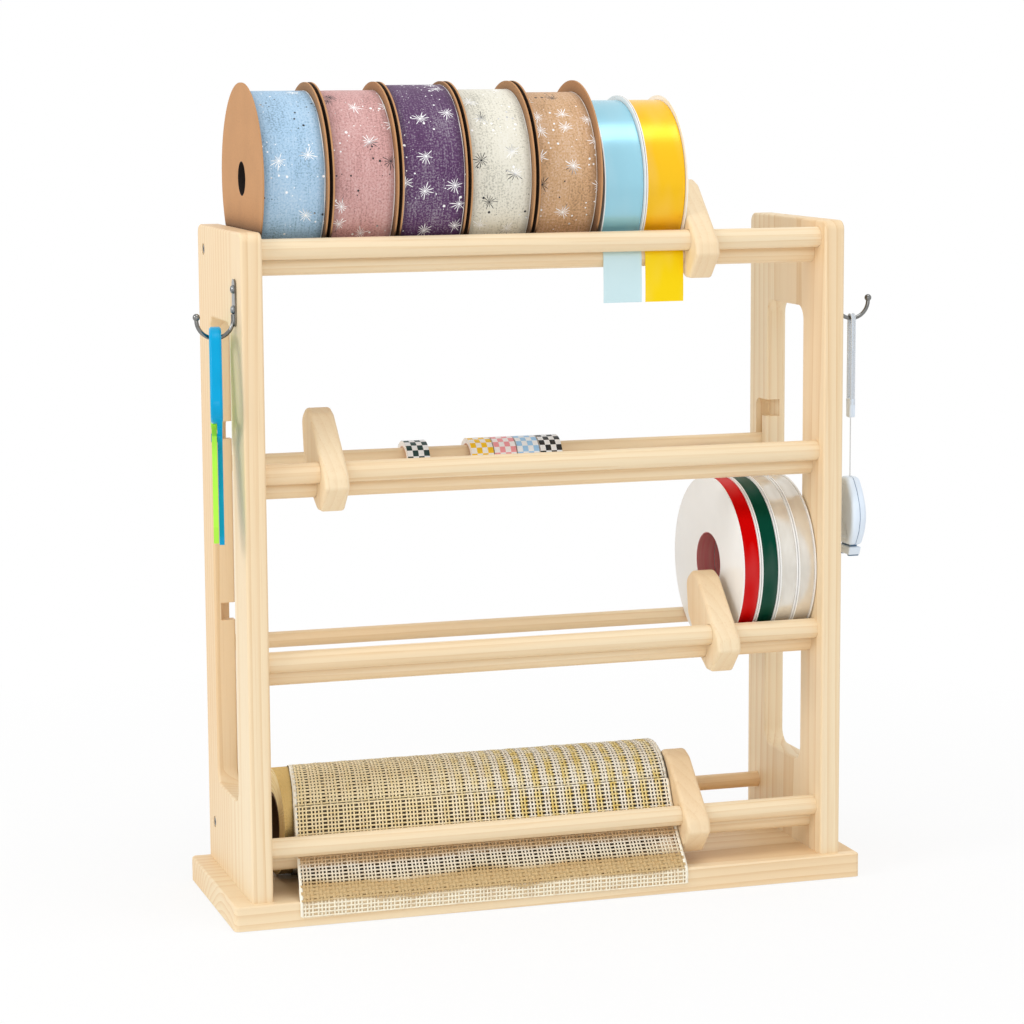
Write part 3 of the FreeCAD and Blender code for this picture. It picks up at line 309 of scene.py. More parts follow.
class StageSettings(bpy.types.PropertyGroup):
    world: FloatProperty(name="World", description="Strength of the even white light",
        default=0.75, min=0.0)
    key: FloatProperty(name="Key", description="Power of the large lamp at the left", default=15.0,
        min=0.0, unit="POWER")
    front: FloatProperty(name="Front", description="Power of the low lamp in front", default=3.5,
        min=0.0, unit="POWER")
    top: FloatProperty(name="Top", description="Power of the wide lamp overhead", default=10.0,
        min=0.0, unit="POWER")


# ---------------------------------------------------------------- stage


def stand_camera():
    """Camera a little to the left and above, rolled by a third of a degree."""
    azimuth, elevation, roll = (math.radians(turn) for turn in CAMERA_TURNS)
    back = Vector((math.sin(azimuth) * math.cos(elevation),
        -math.cos(azimuth) * math.cos(elevation), math.sin(elevation)))
    right = (-back).cross(Vector((0, 0, 1))).normalized()
    up = right.cross(-back)
    across = math.cos(roll) * right + math.sin(roll) * up
    upward = math.cos(roll) * up - math.sin(roll) * right
    lens = bpy.data.cameras.new("rack_camera")
    lens.sensor_width = SENSOR_WIDTH
    lens.lens = FOCAL_LENGTH
    lens.clip_start = 0.1
    lens.clip_end = 20
    camera = bpy.data.objects.new("rack_camera", lens)
    pose = Matrix((across, upward, back)).transposed().to_4x4()
    pose.translation = Vector(CAMERA_TARGET) + CAMERA_DISTANCE * back
    camera.matrix_world = pose
    bpy.context.scene.collection.objects.link(camera)
    bpy.context.scene.camera = camera


def hang_lamp(name, spot, size, power):
    """Round lamp that faces the middle of the rack."""
    lamp = bpy.data.lights.new(name, "AREA")
    lamp.shape = "DISK"
    lamp.size = size
    lamp.energy = power
    thing = bpy.data.objects.new(name, lamp)
    thing.location = spot
    way = Vector(LAMP_TARGET) - Vector(spot)
    thing.rotation_euler = way.to_track_quat("-Z", "Y").to_euler()
    bpy.context.scene.collection.objects.link(thing)


def white_world(strength):
    """Even white light; the camera and reflections see plain white."""
    world = bpy.data.worlds.new("white_room")
    world.use_nodes = True
    tree = world.node_tree
    tree.nodes.clear()
    path = add(tree, "ShaderNodeLightPath")
    seen = add(tree, MATH, {0: path.outputs["Is Camera Ray"],
        1: path.outputs["Is Transmission Ray"]}, operation="MAXIMUM")
    mirrored = add(tree, MATH, {0: seen, 1: path.outputs["Is Glossy Ray"]}, operation="MAXIMUM")
    level = add(tree, MAP_RANGE, {"Value": mirrored, "To Min": strength, "To Max": 1.0})
    light = add(tree, "ShaderNodeBackground", {"Color": (1, 1, 1, 1), "Strength": level})
    add(tree, "ShaderNodeOutputWorld", {"Surface": light})
    bpy.context.scene.world = world


def lay_floor():
    """White sweep of paper: it shows as white and still takes the rack's shadow."""
    half = 3.0
    mesh = bpy.data.meshes.new("paper_floor")
    level = -0.0004
    mesh.from_pydata([(-half, -half, level), (half, -half, level), (half, half, level),
        (-half, half, level)], [], [(0, 1, 2, 3)])
    material, tree, shader = finish_of("white_paper")
    tree.nodes.remove(shader)
    path = add(tree, "ShaderNodeLightPath")
    matt = add(tree, "ShaderNodeBsdfDiffuse", {"Color": colour("F6F6F6")})
    glow = add(tree, "ShaderNodeEmission", {"Color": (1, 1, 1, 1), "Strength": 1.0})
    place = add(tree, COORDINATES).outputs["Object"]
    away = add(tree, VECTOR_MATH, {0: place}, operation="LENGTH")
    bright = add(tree, MAP_RANGE, {"Value": away.outputs["Value"], "From Min": 0.25,
        "From Max": 0.75, "To Min": 0.8, "To Max": 1.0})
    seen = add(tree, MATH, {0: path.outputs["Is Camera Ray"], 1: bright}, operation="MULTIPLY")
    mixed = add(tree, "ShaderNodeMixShader", {0: seen, 1: matt, 2: glow})
    tree.links.new(mixed.outputs[0], tree.nodes["Material Output"].inputs["Surface"])
    piece_of("paper_floor", mesh, material)


# ---------------------------------------------------------------- timber


def pine(name, along, spacing, settings, shift, depth=None):
    """Sanded clear pine: soft yearly rings cut lengthways, fine fibres, a silky matt."""
    material, tree, shader = finish_of(name)
    axis = "XYZ".index(along)
    place = add(tree, COORDINATES).outputs["Object"]
    moved = add(tree, MAPPING, {"Vector": place, "Location": shift})
    stretch = [22.0, 22.0, 22.0]
    stretch[axis] = 1.6
    bent = add(tree, NOISE, {"Vector": add(tree, MAPPING, {"Vector": moved, "Scale": stretch}),
        "Scale": 1.0, "Detail": 2.0, "Roughness": 0.45})
    sway = add(tree, VECTOR_MATH, {0: bent.outputs["Color"], 1: (0.5, 0.5, 0.5)},
        operation="SUBTRACT")
    wander = add(tree, VECTOR_MATH, {0: sway, 1: (2.6 * spacing,) * 3, 2: moved},
        operation="MULTIPLY_ADD")
    rings = add(tree, "ShaderNodeTexWave", {"Vector": wander, "Scale": math.pi / (10 * spacing),
        "Distortion": 0.0}, wave_type="RINGS", rings_direction=along, wave_profile="SAW")
    late = add(tree, MATH, {0: rings.outputs["Fac"], 1: 2.6}, operation="POWER")
    fine = [900.0, 900.0, 900.0]
    fine[axis] = 14.0
    fibre = add(tree, NOISE, {"Vector": add(tree, MAPPING, {"Vector": moved, "Scale": fine}),
        "Scale": 1.0, "Detail": 2.0, "Roughness": 0.6})
    patch_scale = [9.0, 9.0, 9.0]
    patch_scale[axis] = 2.0
    patch = add(tree, NOISE,
        {"Vector": add(tree, MAPPING, {"Vector": moved, "Scale": patch_scale}), "Scale": 1.0,
            "Detail": 1.0})
    warm = add(tree, MAP_RANGE, {"Value": patch.outputs["Fac"], "From Min": 0.42,
        "From Max": 0.68})
    base = add(tree, MIX, {0: warm, 6: settings.earlywood[:], 7: settings.blush[:]},
        data_type="RGBA")
    strength = add(tree, MAP_RANGE, {"Value": fibre.outputs["Fac"], "From Min": 0.3,
        "From Max": 0.7, "To Min": 0.55, "To Max": 1.0})
    amount = add(tree, MATH, {0: late, 1: strength}, operation="MULTIPLY")
    shown = add(tree, MATH, {0: amount, 1: settings.ring_depth if depth is None else depth},
        operation="MULTIPLY")
    ringed = add(tree, MIX, {0: shown, 6: base.outputs[2], 7: settings.latewood[:]},
        data_type="RGBA")
    streak = add(tree, MAP_RANGE, {"Value": fibre.outputs["Fac"], "From Min": 0.56,
        "From Max": 0.8, "To Min": 0.0, "To Max": 0.3})
    final = add(tree, MIX, {0: streak, 6: ringed.outputs[2], 7: settings.latewood[:]},
        data_type="RGBA")
    rough = add(tree, MAP_RANGE, {"Value": late, "To Min": 0.5, "To Max": 0.6})
    relief = add(tree, MATH, {0: late, 1: fibre.outputs["Fac"]}, operation="ADD")
    bump = add(tree, BUMP, {"Height": relief, "Strength": 0.25, "Distance": 0.08 * MM})
    fill(tree, shader, {"Base Color": final.outputs[2], "Roughness": rough, "IOR": 1.45,
        "Normal": bump})
    return material


class RACK_OT_stage(bpy.types.Operator):
    """Set up the camera, the lamps, the white room and the paper floor"""
    bl_idname = "ribbonrack.stage"
    bl_label = "Stage"

    def execute(self, context):
        settings = context.scene.rack_stage
        context.scene.view_settings.view_transform = "Standard"
        stand_camera()
        white_world(settings.world)
        hang_lamp("key_lamp", (-2.1, -0.7, 1.3), 1.0, settings.key)
        hang_lamp("front_lamp", (-0.6, -2.3, 0.3), 0.8, settings.front)
        hang_lamp("top_lamp", (0.2, -0.5, 2.2), 1.2, settings.top)
        lay_floor()
        return {"FINISHED"}


class RACK_OT_timber(bpy.types.Operator):
    """Give the boards, rods and dividers their pine"""
    bl_idname = "ribbonrack.timber"
    bl_label = "Timber"

    def execute(self, context):
        settings = context.scene.rack_timber
        board = settings.ring_spacing
        dress("base_board", pine("pine_base_board", "X", board, settings, (0.02, 0.045, 0.055)))
        dress("left_side_panel", pine("pine_left_panel", "Z", board, settings,
            (0.235, 0.052, 0.0)))
        dress("right_side_panel", pine("pine_right_panel", "Z", board, settings,
            (-0.26, 0.012, 0.3)))
        rods = [f"{kind}_rod_tier{tier}" for tier in (1, 2, 3, 4)
            for kind in ("front", "lower", "rear")]
        for index, rod in enumerate(rods):
            spot = middle(rod)
            shift = (0.37 * index, 0.006 + 0.002 * (index % 4) - spot.y,
                0.009 - 0.003 * (index % 3) - spot.z)
            dress(rod, pine(f"pine_{rod}", "X", settings.rod_ring_spacing, settings, shift,
                0.8 * settings.ring_depth))
        for tier in (1, 2, 3, 4):
            spot = middle(f"divider_tier{tier}")
            shift = (0.12 - spot.x, 0.021 * tier - spot.y, 0.03 - spot.z)
            dress(f"divider_tier{tier}", pine(f"pine_divider_{tier}", "Z", board, settings, shift,
                0.4 * settings.ring_depth))
        return {"FINISHED"}


# ---------------------------------------------------------------- wound ribbons


def wound_tree():
    """A flat section swept once round the X axis, with its own UV map in metres."""
    tree, given, leave = new_tree("wound_turns", [("Centre", "Vector", None),
        ("Radius", "Float", 0.05), ("Inner Radius", "Float", 0.02), ("Width", "Float", 0.03),
        ("Turn", "Float", 0.0), ("Sides", "Int", 128), ("Cuts", "Int", 10),
        ("Edge Wire", "Float", 0.0004), ("Waviness", "Float", 0.0), ("Seed", "Float", 0.0),
        ("Ribbon", "Material", None), ("Edge", "Material", None)])
    thick = add(tree, MATH, {0: given["Radius"], 1: given["Inner Radius"]}, operation="SUBTRACT")
    total = add(tree, MATH, {0: given["Radius"], 1: given["Inner Radius"]}, operation="ADD")
    mean = add(tree, MATH, {0: total, 1: 0.5}, operation="MULTIPLY")
    path = add(tree, "GeometryNodeCurvePrimitiveCircle",
        {"Resolution": given["Sides"], "Radius": mean}, mode="RADIUS")
    around = add(tree, "GeometryNodeSplineParameter")
    kept = add(tree, "GeometryNodeCaptureAttribute", {"Geometry": path})
    kept.capture_items.new("FLOAT", "around")
    tree.links.new(around.outputs["Factor"], kept.inputs[1])
    section = add(tree, "GeometryNodeCurvePrimitiveQuadrilateral",
        {"Width": thick, "Height": given["Width"]}, mode="RECTANGLE")
    finer = add(tree, "GeometryNodeSubdivideCurve", {"Curve": section, "Cuts": given["Cuts"]})
    spot = add(tree, "GeometryNodeInputPosition")
    held = add(tree, "GeometryNodeCaptureAttribute", {"Geometry": finer})
    held.capture_items.new("VECTOR", "section")
    tree.links.new(spot.outputs[0], held.inputs[1])
    swept = add(tree, "GeometryNodeCurveToMesh", {"Curve": kept.outputs[0],
        "Profile Curve": held.outputs[0], "Fill Caps": False})
    parts = add(tree, "ShaderNodeSeparateXYZ", {0: held.outputs[1]})
    # the faces that close the ring run on to a whole turn instead of back to nought
    face = add(tree, "GeometryNodeFieldOnDomain", {0: kept.outputs[1]}, domain="FACE")
    lag = add(tree, MATH, {0: face, 1: kept.outputs[1]}, operation="SUBTRACT")
    wraps = add(tree, MATH, {0: lag, 1: 0.25}, operation="GREATER_THAN")
    turn = add(tree, MATH, {0: kept.outputs[1], 1: wraps})
    rim = add(tree, MATH, {0: given["Radius"], 1: math.tau}, operation="MULTIPLY")
    along = add(tree, MATH, {0: turn, 1: rim}, operation="MULTIPLY")
    flat = add(tree, "ShaderNodeCombineXYZ", {0: parts.outputs["Y"], 1: along})
    mapped = add(tree, "GeometryNodeStoreNamedAttribute", {"Geometry": swept, "Name": "UVMap",
        "Value": flat}, data_type="FLOAT2", domain="CORNER")
    # outer turn stands in and out a little
    here = add(tree, "GeometryNodeInputPosition")
    away = add(tree, VECTOR_MATH, {0: here, 1: (1, 1, 0)}, operation="MULTIPLY")
    outward = add(tree, VECTOR_MATH, {0: away}, operation="NORMALIZE")
    reach = add(tree, VECTOR_MATH, {0: away}, operation="LENGTH")
    outer = add(tree, "FunctionNodeCompare", {0: reach.outputs["Value"], 1: mean},
        operation="GREATER_THAN")
    noise = add(tree, NOISE, {"Vector": here, "W": given["Seed"], "Scale": 55.0, "Detail": 1.0},
        noise_dimensions="4D")
    dip = add(tree, MATH, {0: noise.outputs["Fac"], 1: 0.75}, operation="SUBTRACT")
    step = add(tree, MATH, {0: dip, 1: given["Waviness"]}, operation="MULTIPLY")
    shove = add(tree, VECTOR_MATH, {0: outward, "Scale": step}, operation="SCALE")
    rippled = add(tree, "GeometryNodeSetPosition", {"Geometry": mapped, "Selection": outer,
        "Offset": shove})
    coated = add(tree, "GeometryNodeSetMaterial",
        {"Geometry": rippled, "Material": given["Ribbon"]})
    # wire sewn into both edges of the outer turn
    edge_path = add(tree, "GeometryNodeCurvePrimitiveCircle", {"Resolution": given["Sides"],
        "Radius": add(tree, MATH, {0: given["Radius"], 1: given["Edge Wire"]},
            operation="SUBTRACT")}, mode="RADIUS")
    bead = add(tree, "GeometryNodeCurvePrimitiveCircle",
        {"Resolution": 6, "Radius": given["Edge Wire"]}, mode="RADIUS")
    wire = add(tree, "GeometryNodeCurveToMesh", {"Curve": edge_path, "Profile Curve": bead})
    offset = add(tree, MATH, {0: given["Width"], 1: 0.5}, operation="MULTIPLY")
    inset = add(tree, MATH, {0: offset, 1: given["Edge Wire"]}, operation="SUBTRACT")
    both = add(tree, "GeometryNodeJoinGeometry")
    for sign in (-1.0, 1.0):
        shift = add(tree, MATH, {0: inset, 1: sign}, operation="MULTIPLY")
        moved = add(tree, "GeometryNodeTransform", {"Geometry": wire,
            "Translation": add(tree, "ShaderNodeCombineXYZ", {2: shift})})
        tree.links.new(moved.outputs[0], both.inputs[0])
    edged = add(tree, "GeometryNodeSetMaterial", {"Geometry": both, "Material": given["Edge"]})
    has_wire = add(tree, "FunctionNodeCompare", {0: given["Edge Wire"], 1: 0.00001},
        operation="GREATER_THAN")
    chosen = add(tree, "GeometryNodeSwitch", {"Switch": has_wire, "True": edged},
        input_type="GEOMETRY")
    whole = add(tree, "GeometryNodeJoinGeometry", {0: coated})
    tree.links.new(chosen.outputs[0], whole.inputs[0])
    # stand the ring on its edge, axis along X, then turn it about Z and put it in place
    upright = add(tree, "GeometryNodeTransform",
        {"Geometry": whole, "Rotation": (0, math.pi / 2, 0)})
    placed = add(tree, "GeometryNodeTransform", {"Geometry": upright,
        "Translation": given["Centre"], "Rotation": add(tree, "ShaderNodeCombineXYZ",
            {2: given["Turn"]})})
    real = add(tree, "GeometryNodeRealizeInstances", {"Geometry": placed})
    shaded = add(tree, "GeometryNodeSetShadeSmooth", {"Geometry": real})
    tree.links.new(shaded.outputs[0], leave.inputs[0])
    return tree


def away_from_axis(tree, spot):
    """Distance from the line through a spot along X, on Object coordinates."""
    place = add(tree, COORDINATES).outputs["Object"]
    centred = add(tree, MAPPING, {"Vector": place, "Location": -spot})
    flat = add(tree, VECTOR_MATH, {0: centred, 1: (0, 1, 1)}, operation="MULTIPLY")
    return add(tree, VECTOR_MATH, {0: flat}, operation="LENGTH").outputs["Value"]


def shut_in(tree, reach, clear, deep, most):
    """Share by which surfaces within reach shut a point in, 0 in the open: how much shade is
    painted into a colour.
    """
    open_air = add(tree, "ShaderNodeAmbientOcclusion", {"Distance": reach}, samples=8)
    return add(tree, MAP_RANGE, {"Value": open_air.outputs["AO"], "From Min": clear,
        "From Max": deep, "To Min": 0.0, "To Max": most})


def foil_mask(tree, uv, cell, kept, rays):
    """Mask of foil prints, one to a cell: stars with thin uneven rays, or plain dots."""
    cells = add(tree, "ShaderNodeTexVoronoi", {"Vector": uv, "Scale": 1 / cell,
        "Randomness": 0.85}, voronoi_dimensions="2D")
    chance = add(tree, "ShaderNodeSeparateColor", {0: cells.outputs["Color"]})
    picked = add(tree, MATH, {0: chance.outputs["Red"], 1: kept}, operation="LESS_THAN")
    if rays:
        local = add(tree, VECTOR_MATH, {0: uv, 1: cells.outputs["Position"]}, operation="SUBTRACT")
        parts = add(tree, "ShaderNodeSeparateXYZ", {0: local})
        angle = add(tree, MATH, {0: parts.outputs["Y"], 1: parts.outputs["X"]},
            operation="ARCTAN2")
        turned = add(tree, MATH, {0: angle, 1: chance.outputs["Blue"]})
        wave = add(tree, MATH, {0: add(tree, MATH, {0: turned, 1: rays / 2},
            operation="MULTIPLY")}, operation="COSINE")
        size = add(tree, MATH, {0: wave}, operation="ABSOLUTE")
        thin = add(tree, MATH, {0: size, 1: 5.0}, operation="POWER")
        sector = add(tree, MATH, {0: add(tree, MATH, {0: turned, 1: rays / math.tau},
            operation="MULTIPLY")}, operation="ROUND")
        ray = add(tree, MATH, {0: chance.outputs["Green"], 1: 40.0, 2: sector},
            operation="MULTIPLY_ADD")
        ray_luck = add(tree, "ShaderNodeTexWhiteNoise", {"W": ray}, noise_dimensions="1D")
        reach = add(tree, MAP_RANGE, {"Value": ray_luck.outputs["Value"], "To Min": 0.1,
            "To Max": 0.33})
        limit = add(tree, MATH, {0: thin, 1: reach, 2: 0.03}, operation="MULTIPLY_ADD")
    else:
        cluster = add(tree, NOISE, {"Vector": uv, "Scale": 70.0, "Detail": 0.0})
        room = add(tree, MAP_RANGE, {"Value": cluster.outputs["Fac"], "From Min": 0.48,
            "From Max": 0.62})
        limit = add(tree, MATH, {0: add(tree, MAP_RANGE, {"Value": chance.outputs["Green"],
            "To Min": 0.06, "To Max": 0.19}), 1: room}, operation="MULTIPLY")
    inside = add(tree, MATH, {0: cells.outputs["Distance"], 1: limit}, operation="LESS_THAN")
    return add(tree, MATH, {0: inside, 1: picked}, operation="MULTIPLY")


def crepe_ribbon(name, base, settings, shift, half, dark_reflection_share):
    """Crinkled sheer crepe with silver foil stars: matt, grainy and streaked lengthways.

    The foil is painted white or near black in patches by noise, a painted reflection of light and
    dark surroundings, and painted shade darkens both edges."""
    material, tree, shader = finish_of(name)
    flat = add(tree, "ShaderNodeUVMap", uv_map="UVMap")
    uv = add(tree, MAPPING, {"Vector": flat, "Location": shift})
    crinkle = add(tree, NOISE,
        {"Vector": add(tree, MAPPING, {"Vector": uv, "Scale": (1100, 60, 1)}), "Scale": 1.0,
            "Detail": 3.0, "Roughness": 0.65})
    grain = add(tree, NOISE, {"Vector": uv, "Scale": 800.0, "Detail": 1.0, "Roughness": 0.8})
    cloud = add(tree, NOISE, {"Vector": add(tree, MAPPING, {"Vector": uv, "Scale": (45, 25, 1)}),
        "Scale": 1.0, "Detail": 2.0})
    pale = tuple(part + 0.32 * (1 - part) for part in base[:3]) + (1.0,)
    deep = tuple(0.42 * part for part in base[:3]) + (1.0,)
    mottle = add(tree, MATH, {0: crinkle.outputs["Fac"], 1: 0.4,
        2: add(tree, MATH, {0: grain.outputs["Fac"], 1: 0.6}, operation="MULTIPLY")},
        operation="MULTIPLY_ADD")
    mottle = add(tree, MATH, {0: add(tree, MATH, {0: cloud.outputs["Fac"], 1: 0.5},
        operation="SUBTRACT"), 1: 0.35, 2: mottle}, operation="MULTIPLY_ADD")
    lifted = add(tree, MAP_RANGE, {"Value": mottle, "From Min": 0.5, "From Max": 0.68,
        "To Min": 0.0, "To Max": 0.75})
    first = add(tree, MIX, {0: lifted, 6: base, 7: pale}, data_type="RGBA")
    sunk = add(tree, MAP_RANGE, {"Value": mottle, "From Min": 0.49, "From Max": 0.33,
        "To Min": 0.0, "To Max": 0.75})
    second = add(tree, MIX, {0: sunk, 6: first.outputs[2], 7: deep}, data_type="RGBA")
    # painted shade: the colour deepens over the last 5 mm towards both edges
    off_middle = add(tree, MATH, {0: add(tree, "ShaderNodeSeparateXYZ", {0: flat}).outputs["X"]},
        operation="ABSOLUTE")
    painted_edge_shade = add(tree, MAP_RANGE, {"Value": off_middle, "From Min": half - 5 * MM,
        "From Max": half - 0.5 * MM, "To Max": 0.6})
    third = add(tree, MIX, {0: painted_edge_shade, 6: second.outputs[2], 7: deep}, data_type="RGBA")
    foil = add(tree, MATH, {0: foil_mask(tree, uv, settings.star_cell, 0.4, 13),
        1: foil_mask(tree, uv, settings.dot_cell, 0.6, 0)}, operation="MAXIMUM")
    # painted reflection: noise chooses patches where the foil is near black instead of white
    mirrored = add(tree, NOISE,
        {"Vector": add(tree, MAPPING, {"Vector": uv, "Scale": (26, 26, 1)}), "Scale": 1.0,
            "Detail": 1.0})
    dark = add(tree, MAP_RANGE, {"Value": mirrored.outputs["Fac"], "From Min": 0.98 - dark_reflection_share,
        "From Max": 1.02 - dark_reflection_share})
    silver = add(tree, MIX, {0: dark, 6: colour("FFFFFF"), 7: colour("26262A")}, data_type="RGBA")
    final = add(tree, MIX, {0: foil, 6: third.outputs[2], 7: silver.outputs[2]}, data_type="RGBA")
    relief = add(tree, BUMP, {"Height": mottle, "Strength": 0.6, "Distance": 0.25 * MM})
    fill(tree, shader, {"Base Color": final.outputs[2], "Roughness": 0.7, "Sheen Weight": 0.1,
        "Normal": relief})
    return material


def edge_thread():
    """Woven edge of a wired ribbon: off-white overcast thread, matt."""
    material, tree, shader = finish_of("overcast_edge_thread")
    place = add(tree, COORDINATES).outputs["Object"]
    twist = add(tree, NOISE, {"Vector": place, "Scale": 1400.0})
    tone = add(tree, MIX, {0: twist.outputs["Fac"], 6: colour("FFFFFF"), 7: colour("D9D3C8")},
        data_type="RGBA")
    relief = add(tree, BUMP, {"Height": twist.outputs["Fac"], "Strength": 0.5,
        "Distance": 0.1 * MM})
    fill(tree, shader, {"Base Color": tone.outputs[2], "Roughness": 0.7, "Normal": relief})
    return material


def kraft_board(base, spot, bore):
    """Kraft board: brown, matt and flecked, with painted shade that darkens it between two discs
    and in its bore.
    """
    material, tree, shader = finish_of("kraft_board")
    place = add(tree, COORDINATES).outputs["Object"]
    pulp = add(tree, NOISE,
        {"Vector": add(tree, MAPPING, {"Vector": place, "Scale": (900, 500, 900)}), "Scale": 1.0,
            "Detail": 4.0, "Roughness": 0.7})
    blotch = add(tree, NOISE, {"Vector": place, "Scale": 45.0, "Detail": 2.0})
    light = tuple(min(1.0, 1.16 * part) for part in base[:3]) + (1.0,)
    dark = tuple(0.72 * part for part in base[:3]) + (1.0,)
    first = add(tree, MIX, {0: pulp.outputs["Fac"], 6: light, 7: base}, data_type="RGBA")
    fleck = add(tree, MAP_RANGE, {"Value": pulp.outputs["Fac"], "From Min": 0.6, "From Max": 0.78,
        "To Max": 0.7})
    second = add(tree, MIX, {0: fleck, 6: first.outputs[2], 7: dark}, data_type="RGBA")
    uneven = add(tree, MAP_RANGE, {"Value": blotch.outputs["Fac"], "From Min": 0.4,
        "From Max": 0.8, "To Max": 0.22})
    third = add(tree, MIX, {0: uneven, 6: second.outputs[2], 7: dark}, data_type="RGBA")
    # painted shade: near black inside the bore, and darker where a neighbouring disc shuts the
    # face in
    in_bore = add(tree, MATH, {0: away_from_axis(tree, spot), 1: bore}, operation="LESS_THAN")
    painted_shade = add(tree, MATH, {0: in_bore, 1: shut_in(tree, 30 * MM, 0.8, 0.35, 0.9)},
        operation="MAXIMUM")
    fourth = add(tree, MIX, {0: painted_shade, 6: third.outputs[2], 7: colour("1E100A")}, data_type="RGBA")
    relief = add(tree, BUMP, {"Height": pulp.outputs["Fac"], "Strength": 0.3,
        "Distance": 0.1 * MM})
    fill(tree, shader, {"Base Color": fourth.outputs[2], "Roughness": 0.85, "Normal": relief})
    return material


def satin(name, base, settings, gloss=0.26, lustre=0.5):
    """Warp-faced polyester satin: smooth, with fine cross threads and a soft lustre."""
    material, tree, shader = finish_of(name)
    uv = add(tree, "ShaderNodeUVMap", uv_map="UVMap")
    thread = add(tree, NOISE, {"Vector": add(tree, MAPPING,
        {"Vector": uv, "Scale": (60, 1 / settings.thread, 1)}), "Scale": 1.0, "Detail": 1.0})
    ripple = add(tree, NOISE, {"Vector": add(tree, MAPPING, {"Vector": uv, "Scale": (70, 25, 1)}),
        "Scale": 1.0, "Detail": 1.0})
    pale = tuple(1 - 0.7 * (1 - part) for part in base[:3]) + (1.0,)
    light = add(tree, MAP_RANGE, {"Value": ripple.outputs["Fac"], "From Min": 0.45,
        "From Max": 0.8, "To Max": 0.2})
    tone = add(tree, MIX, {0: light, 6: base, 7: pale}, data_type="RGBA")
    height = add(tree, MATH, {0: thread.outputs["Fac"], 1: 0.12, 2: ripple.outputs["Fac"]},
        operation="MULTIPLY_ADD")
    relief = add(tree, BUMP, {"Height": height, "Strength": 0.35, "Distance": 0.3 * MM})
    fill(tree, shader, {"Base Color": tone.outputs[2], "Roughness": gloss, "Metallic": 0.4,
        "Specular IOR Level": lustre, "Normal": relief})
    return material


def silver_lame(base):
    """Metallised narrow ribbon: pale, mirror-like in places and slightly rippled."""
    material, tree, shader = finish_of("silver_lame")
    uv = add(tree, "ShaderNodeUVMap", uv_map="UVMap")
    ripple = add(tree, NOISE, {"Vector": add(tree, MAPPING, {"Vector": uv, "Scale": (120, 45, 1)}),
        "Scale": 1.0, "Detail": 2.0})
    tone = add(tree, MIX, {0: ripple.outputs["Fac"], 6: base, 7: colour("F8F6F0")},
        data_type="RGBA")
    relief = add(tree, BUMP, {"Height": ripple.outputs["Fac"], "Strength": 0.4,
        "Distance": 0.4 * MM})
    fill(tree, shader, {"Base Color": tone.outputs[2], "Metallic": 0.5, "Roughness": 0.22,
        "Normal": relief})
    return material


def spool_plastic(name, base, hub=None, spot=None, bore=0.0):
    """Glossy moulded polystyrene: white and clean, with a coloured hub lining if asked."""
    material, tree, shader = finish_of(name)
    place = add(tree, COORDINATES).outputs["Object"]
    flow = add(tree, NOISE, {"Vector": place, "Scale": 60.0, "Detail": 1.0})
    tone = add(tree, MIX, {0: flow.outputs["Fac"], 6: base,
        7: tuple(0.93 * part for part in base[:3]) + (1.0,)}, data_type="RGBA")
    result = tone.outputs[2]
    if hub:
        reach = away_from_axis(tree, spot)
        lined = add(tree, MATH, {0: reach, 1: bore}, operation="LESS_THAN")
        streak = add(tree, NOISE,
            {"Vector": add(tree, MAPPING, {"Vector": place, "Scale": (500, 30, 30)}),
                "Scale": 1.0})
        lining = add(tree, MIX, {0: streak.outputs["Fac"], 6: hub, 7: colour("B9857F")},
            data_type="RGBA")
        result = add(tree, MIX, {0: lined, 6: result, 7: lining.outputs[2]},
            data_type="RGBA").outputs[2]
    relief = add(tree, BUMP, {"Height": flow.outputs["Fac"], "Strength": 0.08,
        "Distance": 0.5 * MM})
    fill(tree, shader, {"Base Color": result, "Roughness": 0.22, "IOR": 1.55, "Normal": relief})
    return material


